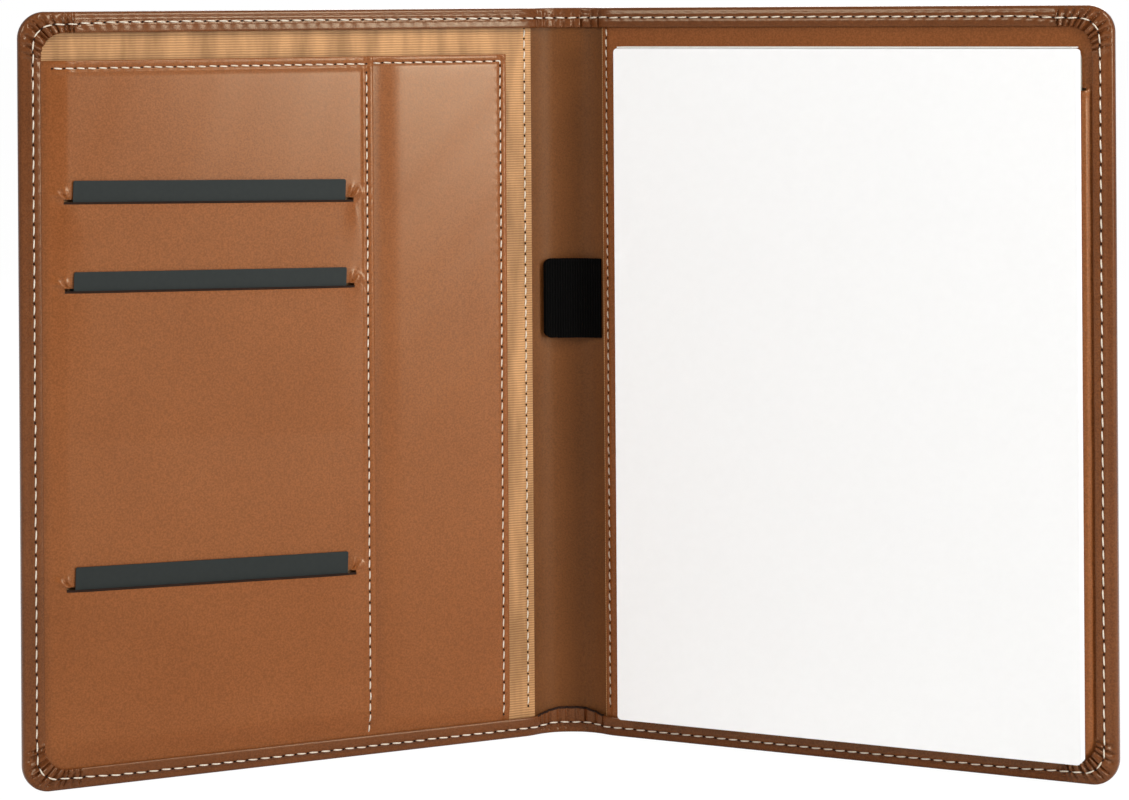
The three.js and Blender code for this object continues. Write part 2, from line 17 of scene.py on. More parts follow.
import bpy
import numpy as np
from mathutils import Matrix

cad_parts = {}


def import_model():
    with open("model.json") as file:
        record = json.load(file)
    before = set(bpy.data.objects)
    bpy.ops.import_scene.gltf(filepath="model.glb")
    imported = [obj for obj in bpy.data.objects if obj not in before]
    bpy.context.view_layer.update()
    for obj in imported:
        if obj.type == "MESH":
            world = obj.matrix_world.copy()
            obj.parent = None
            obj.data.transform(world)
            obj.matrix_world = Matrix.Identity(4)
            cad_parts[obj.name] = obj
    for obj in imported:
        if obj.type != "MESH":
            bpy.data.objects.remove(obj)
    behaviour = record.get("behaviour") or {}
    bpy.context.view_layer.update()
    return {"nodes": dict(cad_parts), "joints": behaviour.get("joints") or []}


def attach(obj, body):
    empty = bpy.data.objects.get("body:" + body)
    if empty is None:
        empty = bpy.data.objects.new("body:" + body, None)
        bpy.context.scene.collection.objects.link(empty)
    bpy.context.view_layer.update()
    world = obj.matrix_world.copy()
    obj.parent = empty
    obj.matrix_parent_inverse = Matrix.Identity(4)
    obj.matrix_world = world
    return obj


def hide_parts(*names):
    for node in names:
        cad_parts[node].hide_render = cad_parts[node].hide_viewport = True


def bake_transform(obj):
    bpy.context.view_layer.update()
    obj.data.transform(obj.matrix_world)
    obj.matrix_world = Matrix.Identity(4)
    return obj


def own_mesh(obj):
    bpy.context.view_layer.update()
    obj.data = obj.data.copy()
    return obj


log = logging.getLogger("padfolio")
MM = 0.001
MERGE = 2e-6  # metres
# Faces with this mark get the painted shadow line along a cut edge.
SHADOW_MARK = "cut_edge"
Points = np.ndarray
Colour = tuple[float, float, float]
Piece = bpy.types.Object
Socket = bpy.types.NodeSocket


class Side(Enum):
    """The two leaves of the folder, by the sign of their side of the spine."""

    LEFT = -1
    RIGHT = 1

    @property
    def word(self) -> str:
        """The leaf's name in piece names."""
        return self.name.lower()

    @property
    def body(self) -> str:
        """The moving body that the leaf's pieces ride on."""
        return f"{self.word}_cover"


def smooth(value: Points | float) -> Points:
    """A smooth step from 0 to 1 as value goes from 0 to 1."""
    t = np.clip(value, 0.0, 1.0)
    return t * t * (3.0 - 2.0 * t)


def bell(distance: Points | float, width: float) -> Points:
    """A bell of height 1 about distance 0."""
    return np.exp(-((np.asarray(distance) / width) ** 2))


def sway(along: Points, seed: int, length: float) -> Points:
    """A slow irregular wave.

    Args:
        along: places along an edge, in millimetres.
        seed: picks the wave.
        length: the longest wave in it, in millimetres.

    Returns:
        A value between about -1 and 1 for each place.
    """
    dice = np.random.default_rng(seed)
    total = np.zeros_like(np.asarray(along, float))
    for octave in range(4):
        pitch = length / (1.7**octave)
        size = dice.uniform(0.5, 1.0) / 1.4**octave
        total += size * np.sin(2 * math.pi * (along / pitch + dice.uniform()))
    return total / 2.2


@dataclass(frozen=True)
class Folder:
    """Sizes and stance of the open folder, in millimetres, as the frame has them."""

    hinge_y: float
    cover_width: float = 165.0
    cover_height: float = 230.0
    spine_width: float = 24.0
    open_angle: float = math.radians(24.5)
    corner: float = 8.0
    cover_depth: float = 5.6
    spine_depth: float = 3.0
    edge_round: float = 2.2
    leather: float = 0.9
    hem: float = 6.3
    window_corner: float = 7.0
    axis_depth: float = 0.95
    lining_front: float = 3.7
    spine_front: float = 1.9
    tucked_back: float = 3.9
    panel_leather: float = 0.6

    @property
    def spine_radius(self) -> float:
        """Radius of the bent spine on the hinge lines."""
        return self.spine_width / 2 / math.sin(self.open_angle)

    @property
    def middle(self) -> float:
        """Where the middle of the spine lies on a leaf's own u."""
        return -self.spine_radius * self.open_angle

    def place(self, side: Side, u: Points, v: Points, z: Points) -> Points:
        """Puts leaf coordinates into the row frame.

        Args:
            side: the leaf.
            u: from the hinge line to the outer edge, and below 0 along the bent spine.
            v: depth from the outer face.
            z: height.

        Returns:
            An array of points in metres.
        """
        u, v, z = np.broadcast_arrays(*(np.asarray(value, float) for value in (u, v, z)))
        level = self.axis_depth - v
        sine, cosine = math.sin(self.open_angle), math.cos(self.open_angle)
        turn = self.open_angle + u / self.spine_radius
        radius = self.spine_radius + level
        x = np.where(u >= 0, self.spine_width / 2 + u * cosine + level * sine, radius * np.sin(turn))
        y = np.where(u >= 0, level * cosine - u * sine, radius * np.cos(turn) - self.spine_radius * cosine)
        return np.stack([side.value * x, y + self.hinge_y, z], axis=-1) * MM

    def lowest(self, u: Points, inset: float) -> Points:
        """How low a sheet reaches inside the rounded corner of a leaf.

        Args:
            u: from the hinge line to the outer edge.
            inset: how far the sheet's edge lies inside the leaf's.

        Returns:
            The least height at each place.
        """
        corner = self.corner - inset
        over = np.maximum(u - (self.cover_width - inset - corner), 0)
        return inset + corner - np.sqrt(np.maximum(corner**2 - over**2, 0))

    def blend(self, piece: Piece, side: Side) -> None:
        """Works out two points across the hinge between the spine and one cover, which are not used, and bakes
        the piece's placement into its mesh; the piece does not bend.
        """
        start, end = self.place(side, np.array([-3.0, 2.0]), self.axis_depth, self.cover_height / 2)
        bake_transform(piece)


def deselect() -> None:
    if bpy.context.object and bpy.context.object.mode != "OBJECT":
        bpy.ops.object.mode_set(mode="OBJECT")
    bpy.ops.object.select_all(action="DESELECT")


def activate(piece: Piece) -> None:
    """Makes a piece the only selected and the active object.

    Args:
        piece: the piece.
    """
    deselect()
    piece.select_set(True)
    bpy.context.view_layer.objects.active = piece


@contextmanager
def editing(piece: Piece, everything: bool = True) -> Iterator[None]:
    """Opens a piece in edit mode, and closes it again.

    Args:
        piece: the piece.
        everything: whether all of it is selected, or what was chosen on it before.

    Yields:
        Nothing: the lines under it edit the piece.
    """
    activate(piece)
    bpy.ops.object.mode_set(mode="EDIT")
    if everything:
        bpy.ops.mesh.select_all(action="SELECT")
    yield
    bpy.ops.object.mode_set(mode="OBJECT")


def points_of(piece: Piece) -> Points:
    """Reads a piece's vertices.

    Args:
        piece: the piece.

    Returns:
        One row of x, y and z for each vertex.
    """
    flat = np.empty(len(piece.data.vertices) * 3)
    piece.data.vertices.foreach_get("co", flat)
    return flat.reshape(-1, 3)


def move_points(piece: Piece, points: Points) -> None:
    """Moves the piece's vertices to the given points."""
    piece.data.vertices.foreach_set("co", np.ascontiguousarray(points, float).ravel())
    piece.data.update()


def apply_modifier(piece: Piece, kind: str, **settings: object) -> None:
    """Adds a modifier and applies it.

    Args:
        piece: the piece.
        kind: the modifier's type.
        settings: its settings by name.
    """
    activate(piece)
    modifier = piece.modifiers.new(kind.lower(), kind)
    for name, value in settings.items():
        setattr(modifier, name, value)
    bpy.ops.object.modifier_apply(modifier=modifier.name)


@dataclass
class Cloth:
    """A grid of points that is laid over a form, and each point's column and row."""

    piece: Piece
    column: Points
    row: Points


def lay_grid(name: str, columns: int, rows: int) -> Cloth:
    """Adds a flat grid to be laid over a form.

    Args:
        name: the piece's name.
        columns: points across.
        rows: points up.

    Returns:
        The grid with the column and row of each of its points.
    """
    deselect()
    bpy.ops.mesh.primitive_grid_add(x_subdivisions=columns - 1, y_subdivisions=rows - 1, size=2)
    piece = bpy.context.object
    piece.name = piece.data.name = name
    at = (points_of(piece) + 1) / 2
    column = np.rint(at[:, 0] * (columns - 1)).astype(int)
    row = np.rint(at[:, 1] * (rows - 1)).astype(int)
    return Cloth(piece, column, row)


def mark_faces(cloth: Cloth, chosen: Points) -> None:
    """Marks faces of a fresh grid for the painted shadow line along a cut edge.

    Args:
        cloth: the grid.
        chosen: true for each point under the painted shadow line, where a face needs more than half of its
            corners.
    """
    corners = np.empty(len(cloth.piece.data.loops), np.int32)
    cloth.piece.data.loops.foreach_get("vertex_index", corners)
    layer = cloth.piece.data.attributes.new(SHADOW_MARK, "BOOLEAN", "FACE")
    layer.data.foreach_set("value", chosen[corners.reshape(-1, 4)].mean(axis=1) > 0.6)


def merge_points(piece: Piece) -> None:
    """Merges the points of a closed piece that meet, and turns its faces outwards.

    Args:
        piece: the piece.
    """
    with editing(piece):
        bpy.ops.mesh.remove_doubles(threshold=MERGE)
        bpy.ops.mesh.normals_make_consistent(inside=False)


def soften(piece: Piece, degrees: float = 50.0) -> None:
    """Shades the piece smooth, but for edges sharper than the given angle."""
    activate(piece)
    bpy.ops.object.shade_smooth_by_angle(angle=math.radians(degrees))


def choose(piece: Piece, chosen: Points, kind: str) -> None:
    """Selects vertices, edges or faces.

    Args:
        piece: the piece to select on.
        chosen: one true or false for each element.
        kind: "vertices", "edges" or "polygons".
    """
    activate(piece)
    kinds = ("vertices", "edges", "polygons")
    bpy.context.tool_settings.mesh_select_mode = tuple(kind == name for name in kinds)
    for name in kinds:
        elements = getattr(piece.data, name)
        elements.foreach_set("select", np.zeros(len(elements), bool))
    getattr(piece.data, kind).foreach_set("select", chosen)


def cut_window(cloth: Cloth, columns: list[int], rows: list[int]) -> None:
    """Deletes the faces of a grid between two columns and two rows.

    Args:
        cloth: the grid.
        columns: the first and the last column.
        rows: the lowest and the highest row.
    """
    inside = (cloth.column >= columns[0]) & (cloth.column <= columns[1])
    inside = inside & (cloth.row >= rows[0]) & (cloth.row <= rows[1])
    chosen = np.array([inside[list(face.vertices)].all() for face in cloth.piece.data.polygons])
    choose(cloth.piece, chosen, "polygons")
    with editing(cloth.piece, everything=False):
        bpy.ops.mesh.delete(type="ONLY_FACE")


def nearest(places: Points, *wanted: float) -> list[int]:
    """The numbers of the places that lie nearest to the wanted ones."""
    return [int(np.argmin(np.abs(places - place))) for place in wanted]


def thicken(piece: Piece, thickness: float) -> None:
    """Gives a sheet its thickness behind the face that looks to the front of the folder.

    Args:
        piece: an open sheet, in metres.
        thickness: in millimetres.
    """
    normals = np.empty(len(piece.data.polygons) * 3)
    piece.data.polygons.foreach_get("normal", normals)
    if normals.reshape(-1, 3)[:, 1].sum() > 0:
        with editing(piece):
            bpy.ops.mesh.flip_normals()
    apply_modifier(piece, "SOLIDIFY", thickness=thickness * MM, offset=-1.0)


def in_order(*groups: Points | list[float]) -> Points:
    """Joins groups of places into one rising list without repeats.

    Args:
        groups: the places, in millimetres.

    Returns:
        The list, in which neighbours lie more than 0.02 mm apart.
    """
    joined = np.sort(np.concatenate([np.atleast_1d(np.asarray(group, float)) for group in groups]))
    return joined[np.concatenate([[True], np.diff(joined) > 0.02])]


def linear(colour: Colour) -> tuple[float, float, float, float]:
    """Turns a colour from 8-bit sRGB numbers into Blender's linear RGBA.

    Args:
        colour: red, green and blue from 0 to 255.

    Returns:
        The linear colour with an alpha of 1.
    """
    parts = [part / 255 for part in colour]
    curve = [part / 12.92 if part <= 0.04045 else ((part + 0.055) / 1.055) ** 2.4 for part in parts]
    return (*curve, 1.0)


WARM = (1.0, 0.86, 0.62, 1.0)
WHITE = (1.0, 1.0, 1.0, 1.0)


class Shading:
    """A material under construction: a principled shader with helpers that add procedural nodes."""

    def __init__(self, name: str, roughness: float, **sockets: float) -> None:
        """Starts a material.

        Args:
            name: the material's name.
            roughness: the shader's roughness.
            sockets: other uniform values by socket name, with _ for a space.
        """
        self.material = bpy.data.materials.new(f"{name}_finish")
        self.material.use_nodes = True
        self.tree = self.material.node_tree
        self.shader = self.tree.nodes["Principled BSDF"]
        self.shader.inputs["Roughness"].default_value = roughness
        for socket, value in sockets.items():
            self.shader.inputs[socket.replace("_", " ")].default_value = value
        self.place = self.add("ShaderNodeTexCoord").outputs["Object"]

    def feed(self, value: object, socket: Socket) -> None:
        """Links a value to a node's input, or sets it there.

        Args:
            value: another node's output or a plain value.
            socket: the input.
        """
        if isinstance(value, Socket):
            self.tree.links.new(value, socket)
        else:
            socket.default_value = value

    def add(self, kind: str, **values: object) -> bpy.types.Node:
        """Adds a node.

        Args:
            kind: the node's type.
            values: settings of the node, or input values or links by socket name with _ for a space.

        Returns:
            The node.
        """
        node = self.tree.nodes.new(kind)
        for name, value in values.items():
            if hasattr(node, name):
                setattr(node, name, value)
            else:
                self.feed(value, node.inputs[name.replace("_", " ")])
        return node

    def noise(self, scale: float, detail: float = 2.0, stretch: Colour = (1.0, 1.0, 1.0)) -> Socket:
        """Adds a cloud pattern.

        Args:
            scale: its size in waves to the metre.
            detail: how many finer clouds lie over it.
            stretch: how much denser it is along x, y and z.

        Returns:
            The pattern, from 0 to 1.
        """
        place = self.add("ShaderNodeMapping", Vector=self.place, Scale=stretch).outputs["Vector"]
        return self.add("ShaderNodeTexNoise", Vector=place, Scale=scale, Detail=detail).outputs["Fac"]

    def bands(self, pitch: float, direction: str, distortion: float) -> Socket:
        """Adds a pattern of even bands.

        Args:
            pitch: from one band to the next, in metres.
            direction: the axis that they follow each other on.
            distortion: how far they wander.

        Returns:
            The pattern, from 0 to 1.
        """
        scale = 2 * math.pi / (20 * pitch)
        wave = self.add("ShaderNodeTexWave", Vector=self.place, Scale=scale, bands_direction=direction)
        self.feed(distortion, wave.inputs["Distortion"])
        self.feed(1.0, wave.inputs["Detail"])
        return wave.outputs["Fac"]

    def mix(
        self, factor: Socket, first: Colour, second: Colour, low: float = 0.3, high: float = 0.7
    ) -> Socket:
        """Runs from one colour to another.

        Args:
            factor: what they depend on.
            first: the colour up to low.
            second: the colour from high.
            low: where the change starts.
            high: where it ends.

        Returns:
            The colour.
        """
        ramp = self.add("ShaderNodeValToRGB", Fac=factor)
        for element, position, colour in zip(ramp.color_ramp.elements, (low, high), (first, second)):
            element.position = position
            element.color = linear(colour)
        return ramp.outputs["Color"]

    def tinted(self, base: Socket, tint: Socket) -> Socket:
        """Multiplies a colour by another.

        Args:
            base: the colour.
            tint: the other.

        Returns:
            The product.
        """
        node = self.add("ShaderNodeMix", data_type="RGBA", blend_type="MULTIPLY")
        self.feed(1.0, node.inputs["Factor"])
        for value, socket in zip((base, tint), (part for part in node.inputs if part.type == "RGBA")):
            self.feed(value, socket)
        return next(part for part in node.outputs if part.type == "RGBA")

    def weighted(self, *parts: tuple[Socket, float]) -> Socket:
        """Adds values up, each times its weight.

        Args:
            parts: the values and their weights.

        Returns:
            The sum.
        """
        total: object = 0.0
        for value, weight in parts:
            node = self.add("ShaderNodeMath", operation="MULTIPLY_ADD")
            for number, socket in zip((value, weight, total), node.inputs):
                self.feed(number, socket)
            total = node.outputs[0]
        return total

    def colour(self, socket: Socket) -> None:
        """Sets the shader's colour."""
        self.feed(socket, self.shader.inputs["Base Color"])

    def rough(self, factor: Socket, low: float, high: float) -> None:
        """Lets the roughness vary between two values."""
        node = self.add("ShaderNodeMapRange", Value=factor, To_Min=low, To_Max=high)
        self.feed(node.outputs["Result"], self.shader.inputs["Roughness"])

    def bump(self, height: Socket, depth: float, strength: float = 1.0) -> None:
        """Raises the surface by height times depth, with depth in millimetres."""
        node = self.add("ShaderNodeBump", Height=height, Distance=depth * MM, Strength=strength)
        self.feed(node.outputs["Normal"], self.shader.inputs["Normal"])


class Finish:
    """What all finishes share: a name, a record slot where it has one, and a material that is built once."""

    name: str
    slot: str | None

    def build(self) -> bpy.types.Material:
        """Builds the material."""
        raise NotImplementedError

    @property
    def material(self) -> bpy.types.Material:
        """The material, built when it is first asked for."""
        return bpy.data.materials.get(f"{self.name}_finish") or self.build()

    def dress(self, piece: Piece) -> Piece:
        """Gives a piece this finish.

        Args:
            piece: the piece.

        Returns:
            The same piece.
        """
        piece.data.materials.clear()
        piece.data.materials.append(self.material)
        return piece

    def paint(self, piece: Piece) -> None:
        """Gives the marked faces of a dressed piece this finish, and takes the marks away.

        Args:
            piece: the piece, after mark_faces.
        """
        marked = np.empty(len(piece.data.polygons), bool)
        piece.data.attributes[SHADOW_MARK].data.foreach_get("value", marked)
        piece.data.materials.append(self.material)
        piece.data.polygons.foreach_set("material_index", marked.astype(np.int32))
        piece.data.attributes.remove(piece.data.attributes[SHADOW_MARK])


@dataclass(frozen=True)
class Leather(Finish):
    """Smooth tanned leather with a fine grain and a soft gloss."""

    name: str = "leather"
    slot: str | None = "leather"
    light: Colour = (150, 88, 46)
    dark: Colour = (144, 83, 42)
    grain: float = 0.02
    roughness: float = 0.24

    def build(self) -> bpy.types.Material:
        """Builds the material.

        Returns:
            The material.
        """
        shading = Shading(self.name, self.roughness, Specular_IOR_Level=0.4, Specular_Tint=WARM)
        cloud = shading.noise(28.0, 4.0)
        fine = shading.noise(1900.0, 2.0)
        pores = shading.add("ShaderNodeTexVoronoi", Vector=shading.place, Scale=1500.0).outputs["Distance"]
        base = shading.mix(cloud, self.dark, self.light, 0.3, 0.72)
        speckle = shading.mix(fine, (222, 218, 214), (255, 255, 255), 0.35, 0.65)
        shading.colour(shading.tinted(base, speckle))
        shading.rough(fine, self.roughness - 0.03, self.roughness + 0.03)
        shading.bump(shading.weighted((pores, 0.6), (fine, 0.8)), self.grain, 0.55)
        return shading.material


@dataclass(frozen=True)
class RibbedCloth(Finish):
    """Lining cloth with fine ribs across it and a watered sheen."""

    name: str = "lining"
    slot: str | None = "lining"
    light: Colour = (216, 164, 110)
    dark: Colour = (178, 130, 84)
    ribs: float = 0.00076
    depth: float = 0.05

    def build(self) -> bpy.types.Material:
        """Builds the material.

        Returns:
            The material.
        """
        shading = Shading(self.name, 0.5, Sheen_Weight=0.08, Sheen_Roughness=0.4, Specular_IOR_Level=0.25)
        ribs = shading.bands(self.ribs, "Z", 0.8)
        water = shading.noise(60.0, 3.0, (3.0, 3.0, 0.6))
        threads = shading.noise(400.0, 2.0, (3.0, 3.0, 0.4))
        base = shading.mix(ribs, self.dark, self.light, 0.1, 0.9)
        sheen = shading.mix(water, (205, 200, 190), (255, 255, 255), 0.35, 0.65)
        shading.colour(shading.tinted(base, sheen))
        shading.rough(water, 0.42, 0.6)
        shading.bump(shading.weighted((ribs, 1.0), (threads, 0.4)), self.depth, 0.5)
        return shading.material


@dataclass(frozen=True)
class Elastic(Finish):
    """Black woven elastic with ribs that run up it."""

    name: str = "elastic"
    slot: str | None = "elastic"
    light: Colour = (12, 11, 10)
    dark: Colour = (2, 2, 2)
    ribs: float = 0.0008
    depth: float = 0.2

    def build(self) -> bpy.types.Material:
        """Builds the material.

        Returns:
            The material.
        """
        shading = Shading(self.name, 0.85, Specular_IOR_Level=0.05)
        ribs = shading.bands(self.ribs, "X", 0.3)
        weave = shading.noise(1600.0, 2.0, (0.4, 1.0, 1.6))
        weft = shading.weighted((ribs, 0.6), (weave, 0.4))
        shading.colour(shading.mix(weft, self.dark, self.light, 0.2, 0.9))
        shading.bump(shading.weighted((ribs, 1.0), (weave, 0.5)), self.depth, 0.7)
        return shading.material


@dataclass(frozen=True)
class Speckled(Finish):
    """A plain stock with a fine cloud of a second colour, such as paper, card, board or thread."""

    name: str
    slot: str | None
    light: Colour
    dark: Colour
    scale: float = 600.0
    roughness: float = 0.6
    depth: float = 0.01

    def build(self) -> bpy.types.Material:
        """Builds the material.

        Returns:
            The material.
        """
        shading = Shading(self.name, self.roughness, Specular_IOR_Level=0.25)
        fine = shading.noise(self.scale, 4.0)
        broad = shading.noise(self.scale / 30, 2.0)
        shading.colour(shading.mix(shading.weighted((fine, 0.7), (broad, 0.3)), self.dark, self.light))
        shading.bump(fine, self.depth, 0.5)
        return shading.material


def down(side: float, start: float, end: float, count: int) -> Points:
    """Points of u and z on an upright line at the given u, from one height to another."""
    return np.stack([np.full(count, side), np.linspace(start, end, count)], axis=-1)


@dataclass(frozen=True)
class Seam:
    """A row of stitches along a line on a leaf.

    Attributes:
        folder: the folder that the seam lies on.
        side: its leaf.
        name: the piece's name.
        line: points of u and z along the seam.
        depth: the depth of the surface at each point.
        facing: 1 on the inside of the leaf, -1 on its outside.
        pitch: from one needle hole to the next.
        thread: the thread's radius.
        slant: how far each end of a stitch stands off the line.
        bends: whether the seam runs on over the spine.
    """

    folder: Folder
    side: Side
    name: str
    line: Points
    depth: Points
    facing: int = 1
    pitch: float = 3.9
    thread: float = 0.21
    slant: float = 0.1
    bends: bool = False

    @property
    def lengths(self) -> Points:
        """Distance along the seam at each of its points."""
        steps = np.hypot(*np.diff(self.line, axis=0).T)
        return np.concatenate([[0.0], np.cumsum(steps)])

    @property
    def count(self) -> int:
        """How many whole stitches fit on the seam."""
        return int(self.lengths[-1] / self.pitch + 0.01)

    def at(self, along: Points) -> tuple[Points, Points, Points, Points]:
        """Finds places on the seam.

        Args:
            along: distances along it.

        Returns:
            Each place's u, z and depth, and the direction of the seam there.
        """
        lengths = self.lengths
        u, z, depth = (np.interp(along, lengths, values) for values in (*self.line.T, self.depth))
        near = 0.8
        after, before = (self.spot(along + step) for step in (near, -near))
        ahead = after - before
        return u, z, depth, ahead / np.linalg.norm(ahead, axis=-1, keepdims=True)

    def spot(self, along: Points) -> Points:
        """The u and z of places at these distances along the seam."""
        return np.stack([np.interp(along, self.lengths, part) for part in self.line.T], axis=-1)

    def copies(self, piece: Piece, count: int) -> tuple[Points, Points]:
        """Repeats a model along the seam.

        Args:
            piece: one stitch or hole.
            count: how many are wanted.

        Returns:
            The number of the copy that each point belongs to, and the points' places in the model.
        """
        model = points_of(piece)
        apart = {"use_constant_offset": True, "constant_offset_displace": (3, 0, 0)}
        apply_modifier(piece, "ARRAY", count=count, use_relative_offset=False, **apart)
        return np.repeat(np.arange(count), len(model)), np.tile(model, (count, 1))

    def sew(self) -> Piece:
        """Makes the stitches.

        Returns:
            The thread, one stitch after another.
        """
        cloth = lay_grid(self.name, 7, 7)
        number, model = self.copies(cloth.piece, self.count)
        across = (model[:, 0] + 1) / 2
        around = (model[:, 1] + 1) * math.pi
        dice = np.random.default_rng(len(self.name) + self.count)
        wander = dice.normal(0.0, 0.05, self.count)[number]
        u, z, depth, ahead = self.at((number + 0.09 + 0.82 * across) * self.pitch)
        arch = np.clip(np.sin(math.pi * across), 0.0, 1.0)
        radius = self.thread * arch**0.3
        aside = self.slant * (2 * across - 1) + wander + radius * np.cos(around) * 1.1
        rise = 0.34 * arch**0.6 - 0.26 + radius * np.sin(around)
        u = u - aside * ahead[:, 1]
        z = z + aside * ahead[:, 0]
        move_points(cloth.piece, self.folder.place(self.side, u, depth + self.facing * rise, z))
        merge_points(cloth.piece)
        soften(cloth.piece, 80)
        return THREAD.dress(cloth.piece)

    def pierce(self) -> Piece:
        """Makes the needle holes between the stitches, coloured dark as painted shade inside them.

        Returns:
            The holes, as small dimples.
        """
        deselect()
        bpy.ops.mesh.primitive_circle_add(vertices=9, radius=1, fill_type="TRIFAN")
        piece = bpy.context.object
        piece.name = piece.data.name = f"{self.name}_holes"
        number, model = self.copies(piece, self.count + 1)
        u, z, depth, ahead = self.at(number * self.pitch)
        along, aside = model[:, 0] % 3, model[:, 1]
        along = np.where(along > 1.5, along - 3, along) * 0.36
        aside = aside * 0.3
        rise = 0.03 - 0.12 * bell(np.hypot(along, aside), 0.2)
        u = u + along * ahead[:, 0] - aside * ahead[:, 1]
        z = z + along * ahead[:, 1] + aside * ahead[:, 0]
        move_points(piece, self.folder.place(self.side, u, depth + self.facing * rise, z))
        return NEEDLE_HOLE_SHADE.dress(piece)

    def dress(self) -> None:
        """Makes the stitches and holes and hangs them on the frame, but where the seam runs on over the spine
        only bakes them in place.
        """
        for piece in (self.sew(), self.pierce()):
            if self.bends:
                self.folder.blend(piece, self.side)
            else:
                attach(piece, self.side.body)


TURNED_LEATHER = Leather("turned_leather", "leather", (122, 70, 37), (110, 62, 32))
THREAD = Speckled("thread", None, (246, 236, 220), (214, 198, 172), 2500.0, 0.6, 0.03)
# Near black: painted shade inside the needle holes.
NEEDLE_HOLE_SHADE = Speckled("needle_hole", None, (32, 17, 9), (16, 9, 5), 900.0, 0.9, 0.01)
LEATHER = Leather()
# Darker than the leaves' leather: painted shade for the hollow of the spine.
SHADED_SPINE_LEATHER = Leather("spine_leather", "spine_leather", (118, 67, 26), (106, 59, 21), 0.05, 0.5)
LINING = RibbedCloth()
ELASTIC = Elastic()
PAPER = Speckled("paper", "paper", (254, 254, 253), (251, 251, 250), 300.0, 0.8, 0.002)
CARD = Speckled("card", "card", (37, 42, 40), (33, 38, 36), 700.0, 0.55, 0.01)
# Dark brown on the cut edges of the slit lips and of the foot hem by the spine: painted shadow lines.
PAINTED_SHADOW_EDGE = Speckled("cut_edge", None, (50, 28, 15), (34, 19, 10), 900.0, 0.9, 0.01)
BOARD = Speckled("board", "board", (176, 168, 152), (150, 142, 126), 900.0, 0.8, 0.03)
SLEEVE = Speckled("sleeve", "sleeve", (120, 84, 54), (98, 68, 42), 1200.0, 0.8, 0.02)
GLUE = Speckled("glue", "glue", (244, 242, 236), (226, 224, 216), 500.0, 0.5, 0.02)


def pucker(distance: Points, along: Points, pitch: float, depth: float = 0.2) -> Points:
    """How a row of stitches draws leather in.

    Args:
        distance: from the seam, in millimetres.
        along: distance along the seam from its first needle hole.
        pitch: from hole to hole.
        depth: how deep the groove is between holes.

    Returns:
        The depth of the groove at each place.
    """
    beat = 0.5 + 0.5 * np.cos(2 * math.pi * along / pitch)
    groove = depth * (0.75 + 0.7 * beat) * bell(distance, 0.55)
    swell = 0.35 * depth * (0.3 + beat) * bell(distance, 1.7)
    return groove + swell - 0.5 * depth * (1 - beat) * bell(np.abs(distance) - 1.1, 0.5)


def rounded_down(distance: Points, drop: float = 0.5, reach: float = 0.6) -> Points:
    """How much lower the surface of a sheet is near its edge.

    Args:
        distance: from the edge.
        drop: how much lower the edge itself is.
        reach: how far in from the edge it is rounded.

    Returns:
        The drop at each place.
    """
    share = 1 - np.clip(distance, 0, reach) / reach
    return drop * (1 - np.sqrt(np.clip(1 - share**2, 0, 1)))


